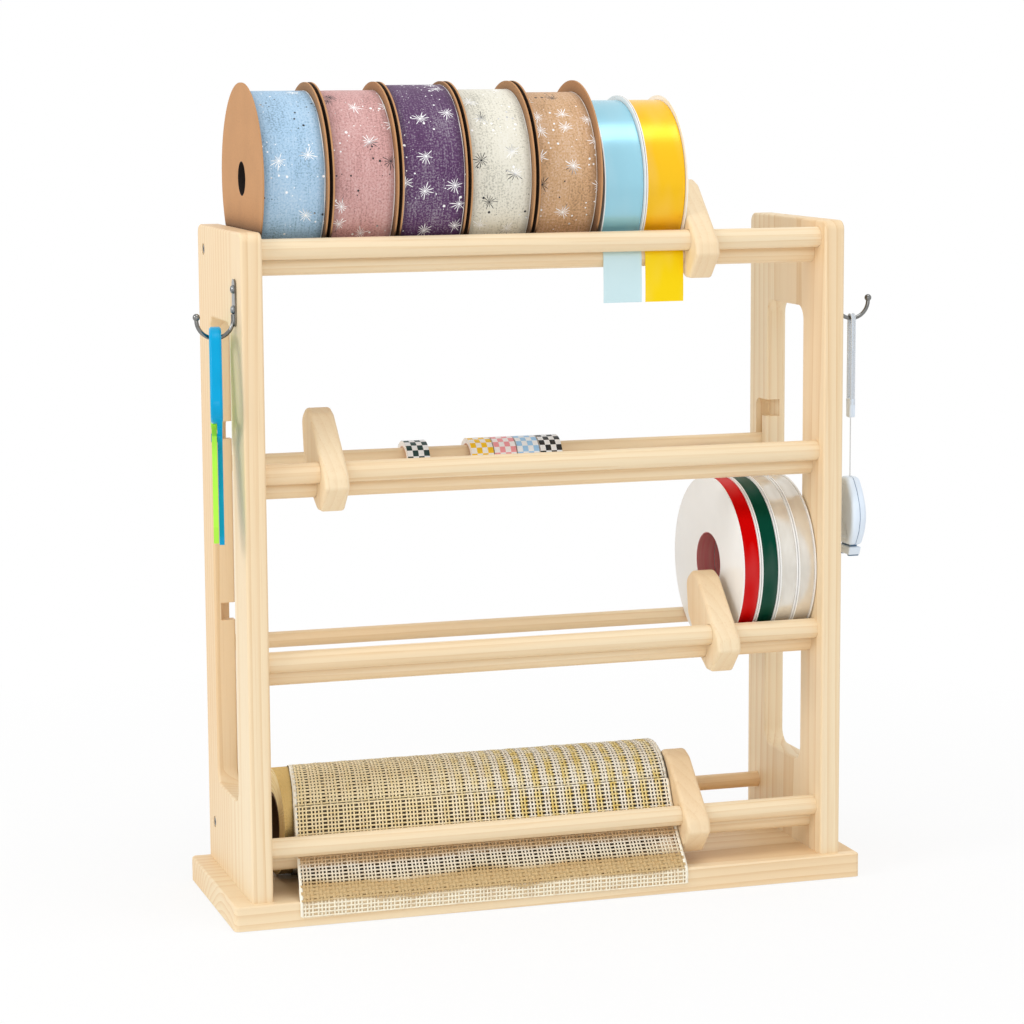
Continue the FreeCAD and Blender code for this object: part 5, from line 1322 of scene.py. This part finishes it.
class RACK_OT_mesh_roll(bpy.types.Operator):
    """Wind the open mesh on its tube and lead its free end out over the board"""
    bl_idname = "ribbonrack.mesh_roll"
    bl_label = "Mesh Roll"

    def execute(self, context):
        settings = context.scene.rack_mesh
        dress("mesh_core", core_tube())
        spot, radius = rod_at("mesh_roll")
        low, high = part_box("mesh_roll")
        left, right = low[0] + 10.5 * MM, high[0] - 1.2 * MM
        beneath = lower_turns(settings, spot, left, high[0] - 0.1 * MM)
        inner = ring_of(wound_tree(), "mesh_inner_turns", "mesh_roll", MESH_HUB, (beneath,),
            Radius=radius - 1.0 * MM, Cuts=30)
        settle(inner, "mesh_reel", "mesh_roll")
        weave = weave_tree()
        laid = {"Left": left + 1.2 * MM, "Right": right, "Group": settings.group,
            "Columns": round((right - left) / settings.pitch), "Middle": spot.y,
            "Wide Gap": settings.gap, "Thickness": 0.3 * MM, "Lift": 0.15 * MM,
            "Flare": settings.flare}
        around = [on_circle(spot, radius - 0.45 * MM, math.tau * step / 120)
            for step in range(121)]
        outer = grown("mesh_outer_turn", weave, {**laid,
            "Rows": 2 * round(math.pi * radius / settings.pitch) + 1, "Strand": settings.strand,
            "Drift": 1.1 * MM, "Seed": 3.0,
            "Mesh": open_mesh_weave("mesh_weave", settings, left, right)},
            line_mesh("roll_line", around))
        settle(outer, "mesh_reel", "mesh_roll")
        route = mesh_route()
        run = sum((b - a).length for a, b in zip(route, route[1:]))
        tones = ((0.33, "DDBB8E", 0.0), (0.38, "DDBB8E", 1.0), (0.5, "E0C094", 1.0),
            (0.55, "F2E8D6", 1.0), (0.68, "E6D8BA", 1.0), (0.72, "C4A674", 1.0),
            (0.87, "CDB07E", 1.0), (0.9, "FBF2DA", 1.0))
        tail = grown("mesh_free_end", weave, {**laid, "Rows": round(run / settings.pitch) + 1,
            "Strand": settings.free_strand, "Drift": 0.5 * MM, "Seed": 8.0, "Snug": 1.15,
            "Mesh": open_mesh_weave("mesh_free_weave", settings, left, right, tones)},
            line_mesh("tail_line", route))
        settle(tail, "rack", "mesh_tail")
        return {"FINISHED"}


# ---------------------------------------------------------------- metalwork


def bright_metal(name, base, roughness, grain):
    """Plated or polished metal, darkened in patches by noise (a painted reflection on the hooks, a
    grain on plates and screws), with a faint grain in its gloss.
    """
    material, tree, shader = finish_of(name)
    place = add(tree, COORDINATES).outputs["Object"]
    marks = add(tree, NOISE, {"Vector": add(tree, MAPPING, {"Vector": place, "Scale": grain}),
        "Scale": 1.0, "Detail": 2.0})
    # painted reflection on the hooks: patches fall to a third of the base colour
    tone = add(tree, MIX, {0: marks.outputs["Fac"], 6: base,
        7: tuple(0.3 * part for part in base[:3]) + (1.0,)}, data_type="RGBA")
    gloss = add(tree, MAP_RANGE, {"Value": marks.outputs["Fac"], "To Min": 0.7 * roughness,
        "To Max": 1.4 * roughness})
    fill(tree, shader, {"Base Color": tone.outputs[2], "Metallic": 1.0, "Roughness": gloss})
    return material


def screw_template(name, head, flat, height, shank, reach):
    """Domed head with a cross recess at -Z and a plain shank up to +Z."""
    mesh = bpy.data.meshes.new(name)
    work = bmesh.new()
    sides = 24
    arm, slot = 0.72 * flat, 0.2 * flat
    deep = 0.5 * height
    cross = [(arm, slot), (slot, slot), (slot, arm), (-slot, arm), (-slot, slot), (-arm, slot),
        (-arm, -slot), (-slot, -slot), (-slot, -arm), (slot, -arm), (slot, -slot), (arm, -slot)]
    upper = [work.verts.new((x, y, -height)) for x, y in cross]
    lower = [work.verts.new((0.8 * x, 0.8 * y, deep - height)) for x, y in cross]
    centre = work.verts.new((0, 0, deep - height))
    count = len(cross)
    for index in range(count):
        after = (index + 1) % count
        work.faces.new((upper[index], upper[after], lower[after], lower[index]))
        work.faces.new((lower[index], lower[after], centre))
    rings = []
    for radius, level in ((flat, -height), (0.5 * (flat + head), -0.72 * height),
            (head, -0.12 * height), (head, 0.0), (shank, 0.0), (shank, reach - 2 * shank)):
        rings.append([work.verts.new((radius * math.cos(math.tau * side / sides),
            radius * math.sin(math.tau * side / sides), level)) for side in range(sides)])
    tip = work.verts.new((0, 0, reach))
    for before, after in zip(rings, rings[1:]):
        for side in range(sides):
            work.faces.new((before[side], before[(side + 1) % sides], after[(side + 1) % sides],
                after[side]))
    for side in range(sides):
        work.faces.new((rings[-1][side], rings[-1][(side + 1) % sides], tip))
    edges = [work.edges.get((rings[0][side], rings[0][(side + 1) % sides]))
        for side in range(sides)]
    edges += [work.edges.get((upper[index], upper[(index + 1) % count])) for index in range(count)]
    bmesh.ops.triangle_fill(work, use_beauty=True, edges=edges)
    bmesh.ops.recalc_face_normals(work, faces=work.faces)
    work.to_mesh(mesh)
    work.free()
    return mesh


def screw_spots(node):
    """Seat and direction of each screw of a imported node, read from its own solids."""
    work = bmesh.new()
    work.from_mesh(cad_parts[node].data)
    bmesh.ops.remove_doubles(work, verts=work.verts, dist=0.00001)
    waiting = set(work.verts)
    spots = []
    while waiting:
        island, front = set(), [waiting.pop()]
        while front:
            vertex = front.pop()
            island.add(vertex)
            for edge in vertex.link_edges:
                other = edge.other_vert(vertex)
                if other in waiting:
                    waiting.discard(other)
                    front.append(other)
        low = Vector([min(v.co[axis] for v in island) for axis in range(3)])
        high = Vector([max(v.co[axis] for v in island) for axis in range(3)])
        size = high - low
        axis = max(range(3), key=lambda number: size[number])
        centre = (low + high) / 2
        along = Vector([float(number == axis) for number in range(3)])
        widest = max(island, key=lambda v: (v.co - centre).cross(along).length)
        sign = -1.0 if widest.co[axis] > centre[axis] else 1.0
        seat = centre.copy()
        seat[axis] = high[axis] if sign < 0 else low[axis]
        spots.append((seat, sign * along))
    work.free()
    # a set gives its members in no fixed order
    return sorted(spots, key=lambda spot: tuple(spot[0]))


def screws_tree():
    """Stand a screw on each point, turned to the way that the point aims."""
    tree, given, leave = new_tree("driven_screws", [("Points", "Geometry", None),
        ("Screw", "Object", None), ("Head Height", "Float", 0.002), ("Metal", "Material", None)])
    aim = add(tree, "GeometryNodeInputNamedAttribute", {"Name": "aim"}, data_type="FLOAT_VECTOR")
    facing = add(tree, "FunctionNodeAlignRotationToVector", {"Vector": aim}, axis="Z")
    index = add(tree, "GeometryNodeInputIndex")
    spin = add(tree, "FunctionNodeAxisAngleToRotation", {"Axis": (0, 0, 1),
        "Angle": add(tree, MATH, {0: index, 1: 0.7}, operation="MULTIPLY")})
    turned = add(tree, "FunctionNodeRotateRotation", {"Rotation": facing, "Rotate By": spin},
        rotation_space="LOCAL")
    source = add(tree, "GeometryNodeObjectInfo", {"Object": given["Screw"]})
    sink = add(tree, VECTOR_MATH, {0: aim, "Scale": given["Head Height"]}, operation="SCALE")
    seated = add(tree, "GeometryNodeSetPosition", {"Geometry": given["Points"], "Offset": sink})
    driven = add(tree, "GeometryNodeInstanceOnPoints", {"Points": seated,
        "Instance": source.outputs["Geometry"], "Rotation": turned})
    real = add(tree, "GeometryNodeRealizeInstances", {"Geometry": driven})
    coated = add(tree, "GeometryNodeSetMaterial", {"Geometry": real, "Material": given["Metal"]})
    tree.links.new(coated.outputs[0], leave.inputs[0])
    return tree


class RACK_OT_metalwork(bpy.types.Operator):
    """Polish the hooks, blacken the wall plates and drive every screw"""
    bl_idname = "ribbonrack.metalwork"
    bl_label = "Hooks, Plates and Screws"

    def execute(self, context):
        # painted reflection: a base darker than bright nickel stands in for dark surroundings
        # mirrored in the hooks
        dress("side_hooks", bright_metal("polished_nickel_plate", colour("9A9A98"), 0.08,
            (140, 140, 140)))
        dress("hanger_plates", bright_metal("pressed_steel", colour("73706B"), 0.38,
            (900, 900, 60)))
        zinc = bright_metal("bright_zinc_plate", colour("A9ABAC"), 0.3, (500, 500, 500))
        tree = screws_tree()
        for name, node, head, flat, height, shank, reach in SCREWS:
            template = bpy.data.objects.new(f"{name}_pattern", screw_template(f"{name}_pattern",
                head * MM, flat * MM, height * MM, shank * MM, reach * MM))
            points = bpy.data.meshes.new(f"{name}_points")
            spots = screw_spots(node)
            points.from_pydata([tuple(seat) for seat, aim in spots], [], [])
            aims = points.attributes.new("aim", "FLOAT_VECTOR", "POINT")
            aims.data.foreach_set("vector", [part for seat, aim in spots for part in aim])
            piece = grown(name, tree, {"Screw": template, "Head Height": height * MM,
                "Metal": zinc}, points)
            bpy.data.objects.remove(template)
            smooth(piece.data)
            settle(piece, "rack", node)
        return {"FINISHED"}


# ---------------------------------------------------------------- scissors


def handle_plastic(name, base):
    """Glossy moulded polypropylene: strong even colour with a faint orange peel."""
    material, tree, shader = finish_of(name)
    place = add(tree, COORDINATES).outputs["Object"]
    flow = add(tree, NOISE, {"Vector": place, "Scale": 75.0, "Detail": 1.0})
    tone = add(tree, MIX, {0: flow.outputs["Fac"], 6: base,
        7: tuple(0.86 * part for part in base[:3]) + (1.0,)}, data_type="RGBA")
    peel = add(tree, NOISE, {"Vector": place, "Scale": 650.0})
    relief = add(tree, BUMP, {"Height": peel.outputs["Fac"], "Strength": 0.06,
        "Distance": 0.1 * MM})
    fill(tree, shader, {"Base Color": tone.outputs[2], "Roughness": 0.2,
        "Specular IOR Level": 0.15, "Normal": relief})
    return material


class RACK_OT_scissors(bpy.types.Operator):
    """Colour the two halves of the craft scissors"""
    bl_idname = "ribbonrack.scissors"
    bl_label = "Scissors"

    def execute(self, context):
        settings = context.scene.rack_tool
        dress("scissors_hung_half", handle_plastic("blue_polypropylene", settings.handle[:]))
        dress("scissors_free_half", handle_plastic("lime_polypropylene", settings.lime[:]))
        return {"FINISHED"}


# ---------------------------------------------------------------- lanyard and cutter


def plait_tree():
    """Strands that wind about a line: a flat plait, or a twist where both rates are one."""
    tree, given, leave = new_tree("plaited_strands", [("Line", "Geometry", None),
        ("Strands", "Int", 3), ("Crossings", "Float", 20.0), ("Depth Rate", "Float", 2.0),
        ("Reach", "Float", 0.001), ("Depth", "Float", 0.0002), ("Strand Radius", "Float", 0.0005),
        ("Steps", "Int", 200), ("Sides", "Int", 8), ("Thread", "Material", None)])
    path = add(tree, "GeometryNodeMeshToCurve", {"Mesh": given["Line"]})
    even = add(tree, "GeometryNodeResampleCurve", {"Curve": path, "Count": given["Steps"]},
        mode="COUNT")
    copies = add(tree, "GeometryNodeDuplicateElements",
        {"Geometry": even, "Amount": given["Strands"]}, domain="SPLINE")
    share_of = add(tree, MATH, {0: copies.outputs["Duplicate Index"], 1: given["Strands"]},
        operation="DIVIDE")
    phase = add(tree, MATH, {0: share_of, 1: math.tau}, operation="MULTIPLY")
    around = add(tree, "GeometryNodeSplineParameter")
    run = add(tree, MATH, {0: given["Crossings"], 1: math.pi}, operation="MULTIPLY")
    swing = add(tree, MATH, {0: around.outputs["Factor"], 1: run, 2: phase},
        operation="MULTIPLY_ADD")
    across = add(tree, MATH, {0: add(tree, MATH, {0: swing}, operation="SINE"), 1: given["Reach"]},
        operation="MULTIPLY")
    faster = add(tree, MATH, {0: swing, 1: given["Depth Rate"]}, operation="MULTIPLY")
    deep = add(tree, MATH, {0: add(tree, MATH, {0: faster}, operation="COSINE"),
        1: given["Depth"]}, operation="MULTIPLY")
    ahead = add(tree, "GeometryNodeInputTangent")
    proud = add(tree, VECTOR_MATH, {0: ahead, 1: (1, 0, 0)}, operation="CROSS_PRODUCT")
    out = add(tree, VECTOR_MATH, {0: proud, "Scale": deep}, operation="SCALE")
    shift = add(tree, VECTOR_MATH, {0: out, 1: add(tree, "ShaderNodeCombineXYZ", {0: across})})
    wound = add(tree, "GeometryNodeSetPosition", {"Geometry": copies, "Offset": shift})
    section = add(tree, "GeometryNodeCurvePrimitiveCircle",
        {"Resolution": given["Sides"], "Radius": given["Strand Radius"]}, mode="RADIUS")
    swept = add(tree, "GeometryNodeCurveToMesh", {"Curve": wound, "Profile Curve": section,
        "Fill Caps": True})
    real = add(tree, "GeometryNodeRealizeInstances", {"Geometry": swept})
    coated = add(tree, "GeometryNodeSetMaterial", {"Geometry": real, "Material": given["Thread"]})
    tree.links.new(coated.outputs[0], leave.inputs[0])
    return tree


def twisted_thread(name, base, grain):
    """Spun polyester thread: soft sheen and small crossing shadows between its fibres."""
    material, tree, shader = finish_of(name)
    place = add(tree, COORDINATES).outputs["Object"]
    slant = add(tree, "ShaderNodeTexWave",
        {"Vector": add(tree, MAPPING, {"Vector": place, "Rotation": (0.6, 0.0, 0.0)}),
            "Scale": math.pi / (10 * grain), "Distortion": 2.0, "Detail": 1.0},
        bands_direction="Z")
    tone = add(tree, MIX, {0: slant.outputs["Fac"],
        6: tuple(0.78 * part for part in base[:3]) + (1.0,), 7: base}, data_type="RGBA")
    relief = add(tree, BUMP, {"Height": slant.outputs["Fac"], "Strength": 0.5,
        "Distance": 0.12 * MM})
    fill(tree, shader, {"Base Color": tone.outputs[2], "Roughness": 0.65, "Sheen Weight": 0.3,
        "Normal": relief})
    return material


def shell_plastic(name, base):
    """Matt moulded ABS: pale and even, with a fine spark-eroded grain."""
    material, tree, shader = finish_of(name)
    place = add(tree, COORDINATES).outputs["Object"]
    grain = add(tree, NOISE, {"Vector": place, "Scale": 1800.0, "Detail": 1.0})
    cloud = add(tree, NOISE, {"Vector": place, "Scale": 90.0})
    tone = add(tree, MIX, {0: cloud.outputs["Fac"], 6: base,
        7: tuple(0.92 * part for part in base[:3]) + (1.0,)}, data_type="RGBA")
    relief = add(tree, BUMP, {"Height": grain.outputs["Fac"], "Strength": 0.2,
        "Distance": 0.04 * MM})
    fill(tree, shader, {"Base Color": tone.outputs[2], "Roughness": 0.42, "IOR": 1.54,
        "Normal": relief})
    return material


def softened(corners, cut, steps=5):
    """Closed outline in the YZ plane whose corners are rounded off."""
    points = []
    for index, corner in enumerate(corners):
        corner = Vector(corner)
        before = Vector(corners[index - 1]) - corner
        after = Vector(corners[(index + 1) % len(corners)]) - corner
        first = corner + before.normalized() * min(cut, 0.45 * before.length)
        last = corner + after.normalized() * min(cut, 0.45 * after.length)
        for step in range(steps + 1):
            part = step / steps
            points.append(
                (1 - part) ** 2 * first + 2 * part * (1 - part) * corner + part ** 2 * last)
    return points


def moulded(work, outline, stations, spot, slot=0):
    """Closed form: an outline repeated along X, drawn in by each station's inset."""
    count = len(outline)
    inward = []
    for index in range(count):
        ahead = outline[(index + 1) % count] - outline[index - 1]
        inward.append(Vector((-ahead.y, ahead.x)).normalized())
    area = sum(outline[index - 1].cross(outline[index]) for index in range(count))
    turn = 1.0 if area > 0 else -1.0
    rings = []
    for across, inset in stations:
        rings.append([work.verts.new(spot + Vector((across, *(point + turn * inset * way))))
            for point, way in zip(outline, inward)])
    made = []
    for before, after in zip(rings, rings[1:]):
        for index in range(count):
            follow = (index + 1) % count
            made.append(work.faces.new((before[index], before[follow], after[follow],
                after[index])))
    for ring in (rings[0], rings[-1]):
        centre = sum((vertex.co for vertex in ring), Vector()) / count
        hub = work.verts.new(centre)
        made += [work.faces.new((ring[index], ring[(index + 1) % count], hub))
            for index in range(count)]
    for face in made:
        face.material_index = slot


def half_round(half, edge, steps=5):
    """Stations of one rounded long edge, from the flat face out to the rim."""
    return [(half - edge * (1 - math.cos(0.5 * math.pi * step / steps)),
        edge * (1 - math.sin(0.5 * math.pi * step / steps))) for step in range(steps + 1)]


def both_ways(stations, middle_ones=()):
    """The same stations at both faces, with any others between them."""
    return ([(-across, inset) for across, inset in stations] + list(middle_ones)
        + [(across, inset) for across, inset in reversed(stations)])


def mirrored(halves):
    """Corners of an outline that is the same on both sides of its middle."""
    return ([(across * MM, up * MM) for across, up in halves]
        + [(-across * MM, up * MM) for across, up in reversed(halves)])


class RACK_OT_lanyard(bpy.types.Operator):
    """Plait the strap with its sleeve, twist the string and mould the pocket cutter"""
    bl_idname = "ribbonrack.lanyard"
    bl_label = "Lanyard and Cutter"

    def execute(self, context):
        settings = context.scene.rack_tool
        tree = plait_tree()
        low, high = (Vector(corner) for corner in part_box("lanyard_strap"))
        spot = (low + high) / 2
        reach, bend = 2.75 * MM, 2.45 * MM
        sleeve_top = low.z + 12 * MM
        crown = high.z - 0.75 * MM - bend
        line = [(spot.x, spot.y - reach, sleeve_top - 4 * MM), (spot.x, spot.y - reach, crown)]
        line += [(spot.x, spot.y - reach * math.cos(math.pi * step / 8),
            crown + bend * math.sin(math.pi * step / 8)) for step in range(1, 8)]
        line += [(spot.x, spot.y + reach, crown), (spot.x, spot.y + reach, sleeve_top - 4 * MM)]
        strap = grown("plaited_strap", tree, {"Strands": 4, "Crossings": 2.0 * settings.plaits,
            "Depth Rate": 2.0, "Reach": 1.15 * MM, "Depth": 0.22 * MM, "Strand Radius": 0.5 * MM,
            "Steps": 40 * settings.plaits // 2, "Sides": 8,
            "Thread": twisted_thread("plaited_polyester", settings.strap[:], 0.7 * MM)},
            line_mesh("strap_line", line))
        smooth(strap.data, 60)
        shell = shell_plastic("abs_shell", settings.shell[:])
        seam = shell_plastic("abs_shadow_gap", settings.seam[:])
        work = bmesh.new()
        sleeve = softened(mirrored([(3.2, 0.0), (2.9, -11.0), (2.3, -12.0)]), 0.8 * MM, 3)
        moulded(work, sleeve, both_ways(half_round(2.0 * MM, 0.8 * MM), [(-0.1 * MM, 0.0),
            (-0.05 * MM, 0.15 * MM), (0.05 * MM, 0.15 * MM), (0.1 * MM, 0.0)]),
            Vector((spot.x, spot.y, sleeve_top)))
        bmesh.ops.recalc_face_normals(work, faces=work.faces)
        mesh = bpy.data.meshes.new("strap_sleeve")
        work.to_mesh(mesh)
        work.free()
        piece = piece_of("strap_sleeve", mesh, shell)
        smooth(piece.data, 40)
        for part in (strap, piece):
            settle(part, "hung_cutter", "lanyard_strap")
        low, high = (Vector(corner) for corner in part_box("lanyard_string"))
        spot = (low + high) / 2
        string = grown("twisted_string", tree, {"Strands": 2, "Crossings": 36.0, "Depth Rate": 1.0,
            "Reach": 0.18 * MM, "Depth": 0.18 * MM, "Strand Radius": 0.2 * MM, "Steps": 260,
            "Sides": 6, "Thread": twisted_thread("twisted_nylon", settings.string[:], 0.3 * MM)},
            line_mesh("string_line", [(spot.x, spot.y, low.z - 1 * MM),
                (spot.x, spot.y, high.z + 1 * MM)]))
        smooth(string.data, 60)
        settle(string, "hung_cutter", "lanyard_string")
        low, high = (Vector(corner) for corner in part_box("pocket_cutter"))
        top = Vector(((low.x + high.x) / 2, (low.y + high.y) / 2, high.z))
        half = (high.x - low.x) / 2
        work = bmesh.new()
        body = softened(mirrored([(5.0, 0.0), (11.5, -8.2), (16.0, -17.2), (17.0, -25.4),
            (15.0, -33.5), (9.5, -42.6)]), 2.6 * MM, 6)
        groove = [(-0.28 * MM, 0.0), (-0.2 * MM, 0.45 * MM), (0.2 * MM, 0.45 * MM),
            (0.28 * MM, 0.0)]
        pressed = [(half - 0.35 * MM, 5.2 * MM), (half - 0.35 * MM, 4.9 * MM), (half, 4.5 * MM)]
        moulded(work, body, both_ways(pressed + half_round(half, 2.5 * MM), groove), top)
        neck = mirrored([(6.5, -41.8), (6.5, -44.6)])
        # the neck and the two feet take the dark gap colour; in the neck's recess it is painted
        # shade
        moulded(work, softened(neck, 0.3 * MM, 2), both_ways([(half - 2.5 * MM, 0.0)]), top, 1)
        shoe = softened(mirrored([(9.5, -43.8), (9.2, -45.0), (7.5, -49.0)]), 0.6 * MM, 3)
        moulded(work, shoe, both_ways(half_round(half - 0.8 * MM, 0.8 * MM, 3)), top, 0)
        for side in (-1, 1):
            foot = [(side * 7.4 * MM, -48.6 * MM), (side * 7.0 * MM, -49.8 * MM),
                (side * 4.6 * MM, -49.8 * MM), (side * 4.4 * MM, -48.6 * MM)]
            moulded(work, softened(foot, 0.2 * MM, 2),
                both_ways(half_round(half - 1.4 * MM, 0.3 * MM, 2)), top, 1)
        bmesh.ops.recalc_face_normals(work, faces=work.faces)
        # painted shade: the middle groove takes the dark gap colour too
        for face in work.faces:
            middle_of = face.calc_center_median() - top
            if abs(middle_of.x) < 0.21 * MM and middle_of.z > -42.5 * MM:
                face.material_index = 1
        mesh = bpy.data.meshes.new("cutter_body")
        work.to_mesh(mesh)
        work.free()
        piece = piece_of("cutter_body", mesh, shell)
        mesh.materials.append(seam)
        smooth(piece.data, 40)
        settle(piece, "hung_cutter", "pocket_cutter")
        return {"FINISHED"}


# ---------------------------------------------------------------- sidebar


PIECES = (RACK_OT_timber, RACK_OT_card_spools, RACK_OT_wired_ribbons, RACK_OT_white_spools,
    RACK_OT_satin_ribbons, RACK_OT_narrow_ribbons, RACK_OT_paper_tapes, RACK_OT_mesh_roll,
    RACK_OT_metalwork, RACK_OT_scissors, RACK_OT_lanyard)
GROUPS = {"rack_timber": TimberSettings, "rack_ribbon": RibbonSettings,
    "rack_satin": SatinSettings, "rack_narrow": NarrowSettings, "rack_tape": TapeSettings,
    "rack_mesh": MeshSettings, "rack_tool": ToolSettings, "rack_stage": StageSettings}


class RACK_PT_pieces(bpy.types.Panel):
    """Sizes and colours of the rack, and the steps that dress it"""
    bl_idname = "RACK_PT_pieces"
    bl_label = "Ribbon Rack"
    bl_space_type = "VIEW_3D"
    bl_region_type = "UI"
    bl_category = "Ribbon Rack"

    def draw(self, context):
        for operator in (RACK_OT_stage, *PIECES):
            self.layout.operator(operator.bl_idname)
        for name, group in GROUPS.items():
            box = self.layout.box()
            box.label(text=name.removeprefix("rack_").capitalize())
            for label in group.__annotations__:
                box.prop(getattr(context.scene, name), label)


CLASSES = (*GROUPS.values(), RACK_OT_stage, *PIECES, RACK_PT_pieces)


def register():
    for item in CLASSES:
        bpy.utils.register_class(item)
    for name, group in GROUPS.items():
        setattr(bpy.types.Scene, name, PointerProperty(type=group))


def unregister():
    for name in GROUPS:
        delattr(bpy.types.Scene, name)
    for item in reversed(CLASSES):
        bpy.utils.unregister_class(item)


def main():
    register()
    for operator in (RACK_OT_stage, *PIECES):
        family, action = operator.bl_idname.split(".")
        getattr(getattr(bpy.ops, family), action)()


if __name__ == "__main__":
    main()
